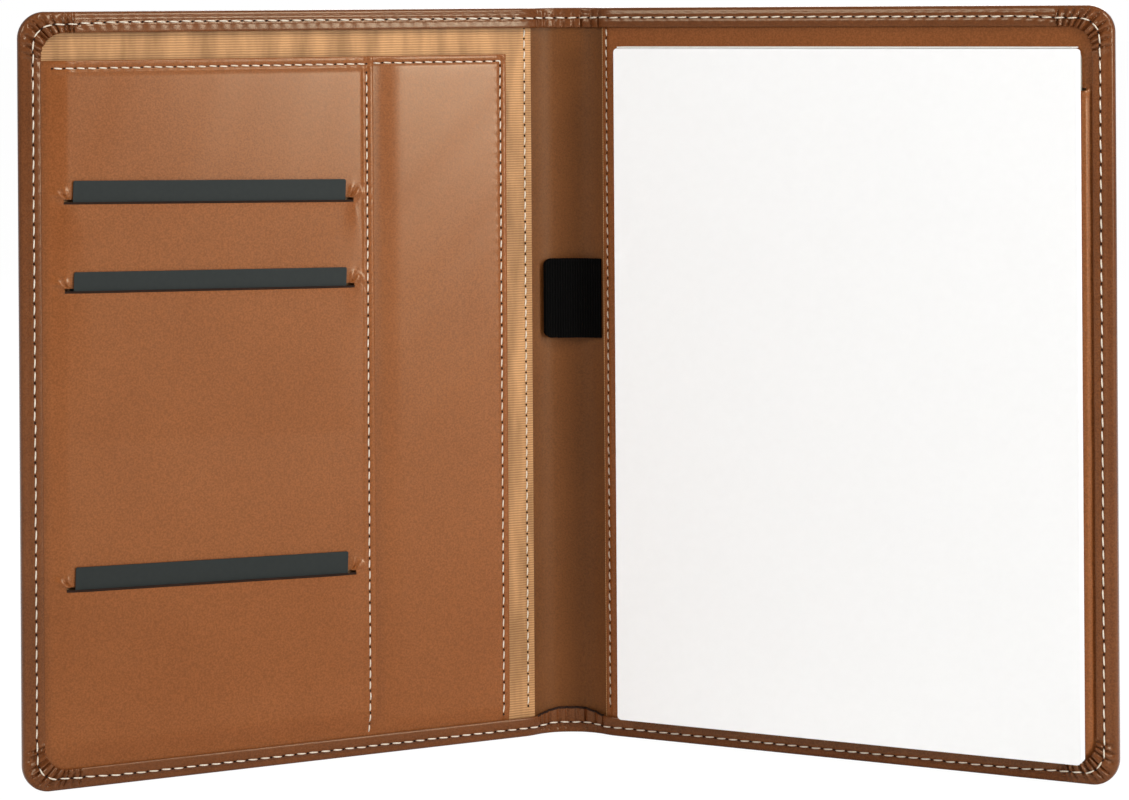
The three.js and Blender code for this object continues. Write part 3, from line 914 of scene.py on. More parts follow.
@dataclass
class CoverSkin:
    """The leather of one cover with its half of the spine, turned in all round and sewn down.

    The skin is lofted round the edge of the leaf, from the outer face over the rounded edge to the turned
    hem, and its two large faces are bridged from edge to edge.
    """

    folder: Folder
    side: Side
    step: float = 0.8
    corner_stations: int = 96
    near_corner: float = 9.0
    easing_length: float = 25.0
    side_seam: float = 3.8
    top_seam: float = 3.2
    foot_seam: float = 3.0
    pitch: float = 3.9
    fan_inset: float = 16.5
    pleat_turn: float = 8.2
    pleat_depth: float = 1.5
    spine_arch: float = 2.0
    slope: float = 0.8
    drift: float = 0.07
    stations: dict[str, Points] = field(init=False)

    def __post_init__(self) -> None:
        """Walks round the leaf and keeps what the loft needs at each station."""
        f = self.folder
        width, height, corner, hem, bend = f.cover_width, f.cover_height, f.corner, f.hem, f.window_corner
        shift = hem + bend - corner
        near = np.linspace(self.near_corner, 0.0, 37)
        plain = (corner + self.near_corner, height - corner - self.near_corner)
        spine, cover = np.linspace(f.middle, 0.0, 43), np.arange(self.step, width - plain[0], self.step)
        run = in_order(spine, cover, width - corner - near)
        rise = in_order(corner + near, np.arange(plain[0] + 0.4, plain[1], self.step), height - corner - near)
        rise = rise[::-1]
        turn = np.linspace(math.pi / 2, 0, self.corner_stations + 2)[1:-1]
        inward = run - shift * self.easing(run)
        drop = rise - shift * smooth(1 - (height - corner - rise) / self.easing_length)
        drop += shift * smooth(1 - (rise - corner) / self.easing_length)
        ones, none = np.ones_like, np.zeros_like
        cosine, sine = np.cos(turn), np.sin(turn)
        top = [run, height * ones(run), none(run), -ones(run), inward, (height - hem) * ones(run)]
        upper = [width - corner + corner * cosine, height - corner + corner * sine, -cosine, -sine]
        upper += [width - hem - bend + bend * cosine, height - hem - bend + bend * sine]
        outer = [width * ones(rise), rise, -ones(rise), none(rise), (width - hem) * ones(rise), drop]
        lower, foot = ([values[::-1].copy() for values in part] for part in (upper, top))
        for part in (lower, foot):
            part[1], part[3], part[5] = height - part[1], -part[3], height - part[5]
        foot[5] = foot[5] + self.spine_arch * smooth((0.8 - foot[0]) / 10.5) ** 0.75
        keys = ("u", "z", "nu", "nz", "wu", "wz")
        s = {key: np.concatenate(parts) for key, *parts in zip(keys, top, upper, outer, lower, foot)}
        self.stations = s
        s["depth"] = f.spine_depth + (f.cover_depth - f.spine_depth) * smooth((s["u"] + 9) / 13)
        level = np.where(s["z"] > height / 2, self.top_seam, self.foot_seam)
        s["seam"] = level + (self.side_seam - level) * self.easing(s["u"])
        steps = np.diff(self.inside(s["seam"]), axis=0)
        s["along"] = np.concatenate([[0.0], np.cumsum(np.hypot(*steps.T))])
        self.pitch = s["along"][-1] / round(s["along"][-1] / self.pitch)

    def easing(self, u: Points) -> Points:
        """A share from 0 to 1 over the last stretch before a corner."""
        start = self.folder.cover_width - self.folder.corner - self.easing_length
        return smooth((u - start) / self.easing_length)

    def inside(self, inset: Points) -> Points:
        """Finds points on the inner face.

        Args:
            inset: how far from the edge, at each station.

        Returns:
            The u and z of each point.
        """
        s = self.stations
        edge = self.folder.edge_round
        start = np.stack([s["u"] + edge * s["nu"], s["z"] + edge * s["nz"]], axis=-1)
        window = np.stack([s["wu"], s["wz"]], axis=-1)
        share = (inset - edge) / (self.folder.hem - edge)
        return start + np.broadcast_to(share, s["u"].shape)[:, None] * (window - start)

    def pleats(self, place: Points) -> Points:
        """Draws the tucks that fan out round the two corners.

        Args:
            place: the u and z of places on the turned leather.

        Returns:
            The height of the tucks at each place.
        """
        f = self.folder
        half = f.cover_height / 2
        rise = np.abs(place[..., 1] - half) - half + self.fan_inset
        turn = np.degrees(np.arctan2(rise, place[..., 0] - f.cover_width + self.fan_inset))
        zone = smooth((turn - 8) / 9) * smooth((95 - turn) / 4)
        walk = turn + 400 * (place[..., 1] < half)
        count = turn / self.pleat_turn + 0.35 * sway(walk, 7 + self.side.value, 30.0)
        ridge = np.abs(np.sin(math.pi * count)) ** 0.8
        size = 0.85 + 0.4 * sway(walk, 21 + self.side.value, 17.0)
        return zone * self.pleat_depth * size * (ridge - 0.62)

    def gathers(self) -> Points:
        """Draws the small gathers where the hem crosses the spine.

        Returns:
            Their height at each station.
        """
        s = self.stations
        dice = np.random.default_rng(5 + self.side.value)
        total = np.zeros_like(s["u"])
        for centre in np.linspace(self.folder.middle + 1.6, -1.0, 5) + dice.normal(0, 0.5, 5):
            total -= dice.uniform(0.4, 0.8) * bell(s["u"] - centre, dice.uniform(0.3, 0.55))
        return total

    def profile(self) -> tuple[Points, Points, Points, Points]:
        """Draws the section of the turned edge at every station.

        Returns:
            Inset and depth of each point, each row's share in the inside face, and whether it lies outside.
        """
        f, sin, cos = self.folder, np.sin, np.cos
        depth, seam = self.stations["depth"], self.stations["seam"]
        edge = np.minimum(f.edge_round, 0.48 * depth)
        wall, lip = f.leather, f.leather / 2
        inner = edge - lip
        turns = ((90, 18), (90, 45), (180, 30))
        quarter, bend, fold = (np.radians(range(0, end + 1, step)) for end, step in turns)
        crests = (-0.9, -0.6, -0.35, -0.17, 0.0, 0.17, 0.35, 0.6, 0.95, 1.4)
        rows = [(inset, 0, 0, 1) for inset in (8.0, 6.0, 5.0)]
        rows += [(seam + off, 0, 0, 1) for off in (1.1, 0.7, 0.35, 0.0, -0.35, -0.7)]
        rows += [(edge * (1 - sin(a)), edge * (1 - cos(a)), 0, 1) for a in quarter]
        rows += [(edge * (1 - cos(a)), depth - edge * (1 - sin(a)), sin(a) ** 2, 0) for a in quarter]
        rows += [(edge + share * (seam - edge), depth, 1, 0) for share in (0.22, 0.5)]
        rows += [(seam + off, depth, 1, 0) for off in crests]
        rows += [(f.hem - lip - 0.3, depth, 1, 0)]
        rows += [(f.hem - lip + lip * sin(a), depth - lip * (1 - cos(a)), 1, 0) for a in fold]
        rows += [(f.hem - 1.5, depth - wall, 1, 0), (3.0, depth - wall, 0.5, 0)]
        rows += [(wall + inner * (1 - sin(a)), depth - wall - inner * (1 - cos(a)), 0, 0) for a in bend]
        rows += [(wall + inner * (1 - sin(a)), wall + inner * (1 - cos(a)), 0, 0) for a in bend[::-1]]
        rows += [(8.0, wall, 0, 0)]
        parts = [np.stack([np.broadcast_to(value, depth.shape) for value in column]) for column in zip(*rows)]
        return parts[0], parts[1], parts[2][:, 0], parts[3][:, 0] == 1

    def build(self) -> Piece:
        """Lofts the skin.

        Returns:
            The skin, closed and placed.
        """
        f, s = self.folder, self.stations
        inset, level, inward, outside = self.profile()
        rows, stations = inset.shape
        u, z, v = np.empty_like(inset), np.empty_like(inset), level.copy()
        drift = self.drift * sway(s["along"], 3 + self.side.value, 37.0)
        for row in range(rows):
            straight = np.stack([s["u"] + inset[row] * s["nu"], s["z"] + inset[row] * s["nz"]], axis=-1)
            over = (inset[row] > f.edge_round) & (inward[row] > 0)
            place = np.where(over[:, None], self.inside(inset[row]), straight)
            u[row], z[row] = place[:, 0], place[:, 1]
            groove = pucker(inset[row] - s["seam"], s["along"], self.pitch)
            if inward[row] > 0:
                weight = inward[row] * smooth((inset[row] - 0.3) / 2.2)
                short = 1 - np.clip((inset[row] - f.edge_round) / (s["seam"] - f.edge_round), 0, 1)
                v[row] += weight * (self.pleats(place) + self.gathers() + drift - groove)
                v[row] -= inward[row] * self.slope * short**1.5
            elif outside[row]:
                v[row] += 0.7 * groove * smooth((inset[row] - 0.8) / 1.5)
        cloth = lay_grid(f"{self.side.word}_cover_skin", stations, rows)
        pick = (cloth.row, cloth.column)
        # The fold of the foot hem across the spine is marked for the painted shadow line under the spine
        # facing.
        free = (inward[:, None] == 1) & (inset > f.hem - f.leather / 2 - 0.05)
        mark_faces(cloth, (free & (s["u"] < 0.3) & (s["z"] < f.cover_height / 2))[pick])
        move_points(cloth.piece, f.place(self.side, u[pick], v[pick], z[pick]))
        self.close(cloth, rows, stations)
        merge_points(cloth.piece)
        soften(cloth.piece, 60)
        return cloth.piece

    def close(self, cloth: Cloth, rows: int, stations: int) -> None:
        """Bridges the outer face and its inner side, and caps the seam in the middle of the spine.

        Args:
            cloth: the lofted edge.
            rows: how many points its section has.
            stations: how many sections it has.
        """
        run = int(np.argmax(self.stations["nu"] != 0))
        piece = cloth.piece
        edges = np.array([edge.vertices[:] for edge in piece.data.edges])
        low = cloth.column[edges].min(axis=1)
        on_run = (low < run - 1) | (low >= stations - run)
        for row in (0, rows - 1):
            on_row = (cloth.row[edges] == row).all(axis=1) & on_run
            later = np.zeros(len(piece.data.edges) - len(edges), bool)
            choose(piece, np.concatenate([on_row, later]), "edges")
            with editing(piece, everything=False):
                bpy.ops.mesh.bridge_edge_loops()
        with editing(piece):
            bpy.ops.mesh.remove_doubles(threshold=MERGE)
            bpy.ops.mesh.select_all(action="DESELECT")
            bpy.ops.mesh.select_mode(type="EDGE")
            only_open = {"use_multi_face": False, "use_non_contiguous": False, "use_verts": False}
            bpy.ops.mesh.select_non_manifold(extend=False, **only_open)
            bpy.ops.mesh.fill_holes(sides=0)

    def seams(self) -> list[Seam]:
        """Draws the seam of the turned edge, as it shows inside and outside.

        Returns:
            The two seams.
        """
        f, side, s = self.folder, self.side, self.stations
        inner = self.inside(s["seam"])
        groove = 0.17
        raised = 0.85 * np.max([np.roll(self.pleats(inner), shift) for shift in range(-7, 8)], axis=0)
        outer = np.stack([s["u"] + s["seam"] * s["nu"], s["z"] + s["seam"] * s["nz"]], axis=-1)
        depth = s["depth"] - groove + raised
        lines = (("hem", inner, depth, 1), ("outside", outer, np.full(len(outer), 0.14), -1))
        return [
            Seam(f, side, f"{side.word}_{name}_stitches", line, depth, facing, self.pitch, bends=True)
            for name, line, depth, facing in lines
        ]

    def dress(self) -> None:
        """Builds the skin and its seams, and bakes them in place over the frame."""
        skin = TURNED_LEATHER.dress(self.build())
        # Paints the shadow line on the marked fold of the hem.
        PAINTED_SHADOW_EDGE.paint(skin)
        self.folder.blend(skin, self.side)
        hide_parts(f"{self.side.word}_cover_leather", "spine_leather")
        for seam in self.seams():
            seam.dress()
        log.info("%s cover: leather skin with %d stations", self.side.word, len(self.stations["u"]))


@dataclass
class SpineFacing:
    """The leather that faces the inside of the spine, one half for each cover, coloured darker as painted
    shade.
    """

    folder: Folder
    side: Side
    reach: float = 4.5
    end: float = 1.1
    thickness: float = 0.7

    def level(self, u: Points) -> Points:
        """Depth of the facing's front, which climbs under the edge of the leaf's lining."""
        f = self.folder
        return f.spine_front + (f.lining_front - 0.5 - f.spine_front) * smooth((u + 8) / 10.5)

    def dress(self) -> None:
        """Builds the facing and bakes it in place over the frame."""
        f = self.folder
        across = np.linspace(f.middle, self.reach, 45)
        up = np.linspace(self.end, f.cover_height - self.end, 160)
        cloth = lay_grid(f"{self.side.word}_spine_facing", len(across), len(up))
        u, z = across[cloth.column], up[cloth.row]
        crease = 0.05 * sway(z + 3 * u, 11, 60.0) * smooth((u - f.middle) / 3)
        move_points(cloth.piece, f.place(self.side, u, self.level(u) + crease, z))
        thicken(cloth.piece, self.thickness)
        soften(cloth.piece)
        # The facing's darker leather is painted shade.
        f.blend(SHADED_SPINE_LEATHER.dress(cloth.piece), self.side)
        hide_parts("spine_lining")
        log.info("%s half of the spine facing", self.side.word)


@dataclass
class Lining:
    """The ribbed cloth that lines a cover."""

    folder: Folder
    side: Side
    inner: float = 0.4
    inset: float = 1.3
    thickness: float = 0.4
    seam: float = 2.7
    pitch: float = 3.4

    def level(self, u: Points, z: Points) -> Points:
        """Finds the depth of the cloth's front, which drops to the facing of the spine at its free edge.

        Args:
            u: from the hinge line.
            z: height.

        Returns:
            The depth at each place.
        """
        f = self.folder
        edge = SpineFacing(f, self.side).level(u) + self.thickness + 0.03
        flat = f.lining_front + 0.05 * sway(u, 31, 45.0)
        groove = pucker(u - self.seam, z - f.hem, self.pitch, 0.12)
        return edge + (flat - edge) * smooth((u - 1.0) / 3.5) - groove * (u > 0)

    def dress(self) -> None:
        """Builds the lining, with its seam on the left leaf, and hangs it on the frame."""
        f = self.folder
        outer = f.cover_width - self.inset
        fine, coarse, wide = (self.inner, 6.0, 26), (6.0, 12.0, 8), (12.0, outer, 24)
        across = in_order(*(np.linspace(*run) for run in (fine, coarse, wide)))
        up = np.linspace(self.inset, f.cover_height - self.inset, 270)
        cloth = lay_grid(f"{self.side.word}_lining_cloth", len(across), len(up))
        u, z = across[cloth.column], up[cloth.row]
        reach = outer - (f.corner - self.inset)
        over = np.maximum(u - reach, 0)
        limit = f.cover_height / 2 - self.inset - (f.corner - np.sqrt(np.maximum(f.corner**2 - over**2, 0)))
        z = f.cover_height / 2 + np.clip(z - f.cover_height / 2, -limit, limit)
        move_points(cloth.piece, f.place(self.side, u, self.level(u, z), z))
        thicken(cloth.piece, self.thickness)
        soften(cloth.piece)
        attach(LINING.dress(cloth.piece), self.side.body)
        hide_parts(f"{self.side.word}_lining")
        if self.side is Side.LEFT:
            line = down(self.seam, f.cover_height - f.hem, f.hem, 300)
            depth = self.level(*line.T) + 0.12
            Seam(f, self.side, "lining_stitches", line, depth, 1, self.pitch, 0.22).dress()
        log.info("%s lining: %d by %d points", self.side.word, len(across), len(up))


@dataclass
class CardPanel:
    """The leather panel with three slits that stands over the cards on the left cover."""

    folder: Folder
    inner: float = 54.4
    inset: float = 2.0
    top: float = 215.5
    fold: float = 3.5
    slits: tuple[float, ...] = (173.0, 146.7, 58.5)
    slit_length: float = 91.0
    slit_gap: float = 0.8
    slit_slope: float = math.tan(math.radians(1.4))
    slit_from_edge: float = 12.7
    lip_ramp: float = 2.3
    lip_rise: float = 1.25
    card_tilt: float = math.tan(math.radians(2.0))
    level: float = 5.153
    seam_inset: float = 2.3
    pitch: float = 3.4
    hem_ramp: float = 4.5

    @property
    def middle(self) -> float:
        """The middle of the slits."""
        return self.folder.cover_width - self.slit_from_edge - self.slit_length / 2

    @property
    def slit_ends(self) -> tuple[float, float]:
        """Where the slits start and end."""
        return self.middle - self.slit_length / 2, self.middle + self.slit_length / 2

    def raised(self, row: Points, above: int) -> Points:
        """Depth of the panel's back where it follows the cards under it.

        Args:
            row: heights.
            above: how many slits are counted, from the top.

        Returns:
            The depth at each height.
        """
        row = np.asarray(row, float)
        level = np.full_like(row, self.level)
        for order, slit in enumerate(self.slits[:above]):
            lip = self.raised(np.array(slit), order) + self.lip_rise - self.card_tilt * (slit - row)
            level = np.where(row < slit, np.maximum(level, lip), level)
        return level

    def inside_hem(self, u: Points, z: Points) -> Points:
        """Measures how far places lie inside the window of the turned edge.

        Args:
            u: from the hinge line.
            z: height.

        Returns:
            The distance to the turned edge, below 0 under it.
        """
        f = self.folder
        across = f.cover_width - f.hem - u
        up = np.minimum(z, f.cover_height - z) - f.hem
        corner = f.window_corner
        rounded = corner - np.hypot(corner - across, corner - up)
        return np.where((across < corner) & (up < corner), rounded, np.minimum(across, up))

    def lean(self, row: Points, u: Points) -> Points:
        """Finds how far rows of the panel rise with the slope of the slits.

        Args:
            row: the height of each row at the middle of the slits.
            u: from the hinge line.

        Returns:
            The rise at each place.
        """
        low, high = self.slits[-1] - self.slit_gap, self.slits[0] + self.slit_gap
        ramp, fold = self.folder.hem + self.hem_ramp, self.top - self.fold
        share = np.clip((row - ramp) / (low - ramp), 0, 1) * np.clip((fold - row) / (fold - high), 0, 1)
        return share * self.slit_slope * (u - self.middle)

    def front(self, u: Points, row: Points) -> Points:
        """Depth of the panel's front at a place, before a row leans.

        Args:
            u: from the hinge line.
            row: the height of the row at the middle of the slits.

        Returns:
            The depth at each place.
        """
        f = self.folder
        start, end = self.slit_ends
        drops = [np.maximum(slit - row, 0) for slit in self.slits]
        spread = np.max([6.0 - 6.0 * np.exp(-drop / 12.0) for drop in drops], axis=0)
        width = self.lip_ramp + 2 * spread
        taper = smooth((u - start + spread) / width) * smooth((end + spread - u) / width)
        level = self.level + taper * (self.raised(row, len(self.slits)) - self.level) + f.panel_leather
        fold = smooth((self.inner + self.fold + 0.8 - u) / 1.4)
        level = level + 0.22 * np.maximum(fold, smooth((row - (self.top - self.fold - 0.8)) / 1.4))
        lift = smooth(self.inside_hem(u, row) / 8.0)
        level = f.tucked_back + f.panel_leather + lift * (level - f.tucked_back - f.panel_leather)
        level = level + 0.05 * sway(u + 0.3 * row, 41, 70.0) * lift
        for slit in self.slits:
            below, above = slit - row, row - slit
            inside = smooth((u - start + 1) / 3) * smooth((end - u + 1) / 3)
            level = level + 0.12 * inside * np.exp(-np.abs(below) / 1.2) * (below > 0)
            level = level - 0.3 * inside * np.exp(-np.abs(above) / 1.6) * (above > 0)
            for place, outward in ((start, -1), (end, 1)):
                aside = (u - place) * outward
                reach = np.hypot(aside, above)
                fan = np.arctan2(above, aside + 1.5)
                ridge = 0.5 * bell(fan - 0.55, 0.28) + 0.32 * bell(fan - 1.25, 0.2)
                ridge = ridge - 0.3 * bell(fan - 0.9, 0.12)
                level = level + 1.4 * ridge * bell(reach - 1.6, 1.9) + 0.4 * bell(reach, 1.0)
        seam_top = pucker(row - (self.top - self.seam_inset), u - self.inner - self.seam_inset, self.pitch)
        seam_side = pucker(u - (self.inner + self.seam_inset), row - f.hem, self.pitch)
        level = level - np.maximum(seam_top * lift, seam_side)
        return level - rounded_down(np.minimum(u - self.inner, self.top - row))

    def build(self) -> Piece:
        """Builds the panel, cuts its slits and gives it its thickness.

        Returns:
            The panel.
        """
        f = self.folder
        start, end = self.slit_ends
        half = self.slit_gap / 2
        ends = np.array([-3, -2.2, -1.5, -1, -0.6, -0.3, 0, 0.4, 0.8, 1.3, 1.9, 2.6, 3.4])
        seams = np.array([0, 0.15, 0.35, 0.6, 1.0, 1.5, 1.9, 2.15, 2.3, 2.45, 2.7, 3.1, 3.6, 4.2, 5])
        wide = np.linspace(self.inner + 5, f.cover_width - self.inset, 84)
        across = in_order(self.inner + seams, start + ends, end - ends, wide)
        lips = np.array([0, 0.25, 0.6, 1.1, 1.8, 2.8, 4])
        slits = np.array(self.slits)
        tall = np.linspace(self.inset, self.top - 5, 205)
        tall = tall[np.abs(tall[:, None] - slits).min(axis=1) > 1.2]
        lips = np.concatenate([-half - lips, half + lips])
        up = in_order(self.top - seams, *(slit + lips for slit in slits), tall)
        cloth = lay_grid("card_panel_leather", len(across), len(up))
        u, row = across[cloth.column], up[cloth.row]
        # The lower lip of each slit is marked for the painted shadow line under the card.
        lip = np.min([np.abs(slit - half - 0.3 - row) for slit in slits], axis=0)
        mark_faces(cloth, (lip < 0.32) & (u > start - 0.1) & (u < end + 0.1))
        row = np.maximum(row, f.lowest(u, self.inset))
        move_points(cloth.piece, f.place(Side.LEFT, u, self.front(u, row), row + self.lean(row, u)))
        for slit in slits:
            cut_window(cloth, nearest(across, start, end), nearest(up, slit - half, slit + half))
        thicken(cloth.piece, f.panel_leather)
        soften(cloth.piece)
        return cloth.piece

    def seams(self) -> list[Seam]:
        """Draws the seams along the top and the inner edge.

        Returns:
            The two seams.
        """
        f = self.folder
        side, top = self.inner + self.seam_inset, self.top - self.seam_inset
        run = np.linspace(side, f.cover_width - f.hem - 0.3, 260)
        head, rise = np.stack([run, np.full(len(run), top)], axis=-1), down(side, f.hem + 0.2, top, 500)
        leaning = rise + np.stack([0 * rise[:, 0], self.lean(rise[:, 1], side)], axis=-1)
        return [
            Seam(f, Side.LEFT, "card_panel_top_stitches", head, self.front(*head.T) + 0.1, 1, self.pitch),
            Seam(f, Side.LEFT, "card_panel_side_stitches", leaning, self.front(*rise.T) + 0.1, 1, self.pitch),
        ]

    def dress(self) -> None:
        """Builds the panel with its seams and hangs them on the frame."""
        piece = LEATHER.dress(self.build())
        # Paints the shadow line on the marked slit lips.
        PAINTED_SHADOW_EDGE.paint(piece)
        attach(piece, Side.LEFT.body)
        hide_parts("card_panel")
        for seam in self.seams():
            seam.dress()
        log.info("card panel: %d faces", len(piece.data.polygons))


@dataclass
class SidePocket:
    """The plain pocket between the card panel and the spine."""

    folder: Folder
    inner: float = 9.5
    panel_edge: float = 54.4
    tuck: float = 5.0
    inset: float = 2.0
    top: float = 215.5
    seam_inset: float = 2.1
    pitch: float = 3.4

    def front(self, u: Points, z: Points) -> Points:
        """Finds the depth of the pocket's front, which drops under the card panel and the turned edge.

        Args:
            u: from the hinge line.
            z: height.

        Returns:
            The depth at each place.
        """
        f = self.folder
        lift = smooth((self.panel_edge - 0.3 - u) / 9.0) * smooth((z - f.hem) / 4.5)
        level = f.tucked_back + f.panel_leather * (1 + lift)
        level = level + 0.05 * sway(z + u, 51, 80.0) * lift
        seam_top = pucker(z - (self.top - self.seam_inset), u - self.inner - self.seam_inset, self.pitch)
        seam_side = pucker(u - (self.inner + self.seam_inset), z - f.hem, self.pitch)
        level = level - np.maximum(seam_top, seam_side) * 0.9
        return level - rounded_down(np.minimum(u - self.inner, self.top - z))

    def dress(self) -> None:
        """Builds the pocket with its seams and hangs them on the frame."""
        f = self.folder
        seams = np.array([0, 0.15, 0.35, 0.6, 1.0, 1.4, 1.75, 2.0, 2.2, 2.5, 2.9, 3.5, 4.2, 5])
        wide = np.linspace(self.inner + 5, self.panel_edge + self.tuck - 0.5, 30)
        across = in_order(self.inner + seams, wide)
        up = in_order(self.top - seams, np.linspace(self.inset, self.top - 5, 240))
        cloth = lay_grid("side_pocket_leather", len(across), len(up))
        u, z = across[cloth.column], up[cloth.row]
        move_points(cloth.piece, f.place(Side.LEFT, u, self.front(u, z), z))
        thicken(cloth.piece, f.panel_leather)
        soften(cloth.piece)
        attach(LEATHER.dress(cloth.piece), Side.LEFT.body)
        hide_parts("side_pocket")
        side, top = self.inner + self.seam_inset, self.top - self.seam_inset
        run = np.linspace(self.panel_edge, side, 100)
        head = np.stack([run, np.full(len(run), top)], axis=-1)
        line = np.concatenate([head, down(side, top, f.hem + 0.2, 500)[1:]])
        Seam(f, Side.LEFT, "side_pocket_stitches", line, self.front(*line.T) + 0.1, 1, self.pitch).dress()
        log.info("side pocket: %d faces", len(cloth.piece.data.polygons))


@dataclass
class PadPanel:
    """The leather panel of the right cover, slit near its top to hold the backing of the pad."""

    folder: Folder
    inner: float = 0.5
    inset: float = 2.0
    pad_inner: float = 7.7
    pad_outer: float = 155.7
    slit_height: float = 205.1
    slit_gap: float = 0.8
    slit_end: float = 1.3
    pad_level: float = 5.6
    side_ramp: float = 3.6
    hem_ramp: float = 2.1
    seam: float = 2.1
    pitch: float = 3.3

    def front(self, u: Points, z: Points) -> Points:
        """Finds the depth of the panel's front, raised over the backing below the slit.

        Args:
            u: from the hinge line.
            z: height.

        Returns:
            The depth at each place.
        """
        f = self.folder
        hem = CardPanel(f).inside_hem(u, z)
        lift = smooth((u - self.pad_inner + self.side_ramp) / self.side_ramp) * smooth(hem / self.hem_ramp)
        lift = lift * smooth((self.slit_height + 0.3 - z) / 0.6)
        level = f.tucked_back + f.panel_leather + lift * (self.pad_level - f.tucked_back)
        free = SpineFacing(f, Side.RIGHT).level(u) + f.panel_leather + 0.05
        level = free + (level - free) * smooth((u - 0.6) / 3.0)
        level = level + 0.06 * sway(z, 61, 55.0) * smooth((6 - u) / 3)
        level = level - pucker(u - self.seam, z - f.hem, self.pitch)
        end = self.pad_outer + self.slit_end
        reach = np.hypot(u - end, z - self.slit_height)
        level = level + 0.35 * bell(reach - 0.8, 0.9) * (u > self.pad_outer - 1)
        return level - rounded_down(u - self.inner)

    def dress(self) -> None:
        """Builds the panel with its seam and hangs them on the frame."""
        f = self.folder
        outer, top = f.cover_width - self.inset, f.cover_height - self.inset
        seams = np.array([0, 0.15, 0.35, 0.6, 1.0, 1.3, 1.6, 1.9, 2.1, 2.3, 2.6, 3.0, 3.6, 4.2, 5, 6, 7])
        half = self.slit_gap / 2
        start, end = self.pad_inner - self.slit_end, self.pad_outer + self.slit_end
        wide = np.linspace(self.inner + 7, self.pad_outer - 2, 30)
        beside = np.linspace(self.pad_outer - 2, outer, 22)
        across = in_order(self.inner + seams, wide, [start, end], beside)
        lips = half + np.array([0, 0.2, 0.5, 1.0, 1.6, 2.4, 3.2])
        tall = np.linspace(self.inset, top, 270)
        tall = tall[np.abs(tall - self.slit_height) > 1.0]
        up = in_order(self.slit_height - lips, self.slit_height + lips, tall)
        cloth = lay_grid("right_panel_leather", len(across), len(up))
        u, z = across[cloth.column], up[cloth.row]
        lowest = f.lowest(u, self.inset)
        z = np.clip(z, lowest, f.cover_height - lowest)
        move_points(cloth.piece, f.place(Side.RIGHT, u, self.front(u, z), z))
        rows = nearest(up, self.slit_height - half, self.slit_height + half)
        cut_window(cloth, nearest(across, start, end), rows)
        thicken(cloth.piece, f.panel_leather)
        soften(cloth.piece)
        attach(LEATHER.dress(cloth.piece), Side.RIGHT.body)
        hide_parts("right_panel")
        line = down(self.seam, f.cover_height - f.hem, f.hem, 500)
        Seam(f, Side.RIGHT, "right_panel_stitches", line, self.front(*line.T) + 0.1, 1, self.pitch).dress()
        log.info("right panel: %d faces", len(cloth.piece.data.polygons))


@dataclass
class WritingPad:
    """The pad's block of sheets, with the edges of its sheets a little uneven."""

    folder: Folder
    inner: float = 7.7
    outer: float = 155.7
    foot: float = 7.2
    top: float = 217.2
    back: float = 6.35
    front: float = 11.35
    corner: float = 1.2
    sheets: int = 40

    def outline(self, inset: Points) -> tuple[Points, Points]:
        """Draws one sheet's edge.

        Args:
            inset: how far each sheet stands back from the block's sides.

        Returns:
            The u and z of the points round each sheet.
        """
        around = [(turn + np.linspace(0, 1, 6)) * math.pi / 2 for turn in range(4)]
        ways = ((1, 1), (-1, 1), (-1, -1), (1, -1))
        half_u, half_z = (self.outer - self.inner) / 2, (self.top - self.foot) / 2
        arcs = zip(ways, around)
        points = [(half_u, half_z) * np.array(way) + self.arc(way, angle) for way, angle in arcs]
        u, z = np.concatenate(points).T[:, :, None]
        return self.inner + half_u + u - inset * np.sign(u), self.foot + half_z + z - inset * np.sign(z)

    def arc(self, way: tuple[int, int], angle: Points) -> Points:
        """One rounded corner of a sheet, about the corner that it would have without its rounding."""
        return self.corner * (np.stack([np.cos(angle), np.sin(angle)], axis=-1) - np.array(way))

    def dress(self) -> None:
        """Builds the block and hangs it on the frame."""
        dice = np.random.default_rng(3)
        levels = np.repeat(np.linspace(self.back, self.front, self.sheets + 1), 2)[1:-1]
        inset = np.repeat(np.abs(dice.normal(0.0, 0.045, self.sheets)), 2)
        inset[-2:] = 0.0
        u, z = self.outline(inset)
        cloth = lay_grid("pad_block", len(u) + 1, len(levels))
        pick = (cloth.column % len(u), cloth.row)
        move_points(cloth.piece, self.folder.place(Side.RIGHT, u[pick], levels[cloth.row], z[pick]))
        with editing(cloth.piece):
            bpy.ops.mesh.remove_doubles(threshold=MERGE)
            bpy.ops.mesh.fill_holes(sides=0)
            bpy.ops.mesh.normals_make_consistent(inside=False)
        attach(PAPER.dress(cloth.piece), Side.RIGHT.body)
        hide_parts("pad_sheets")
        log.info("writing pad: %d sheets", self.sheets)


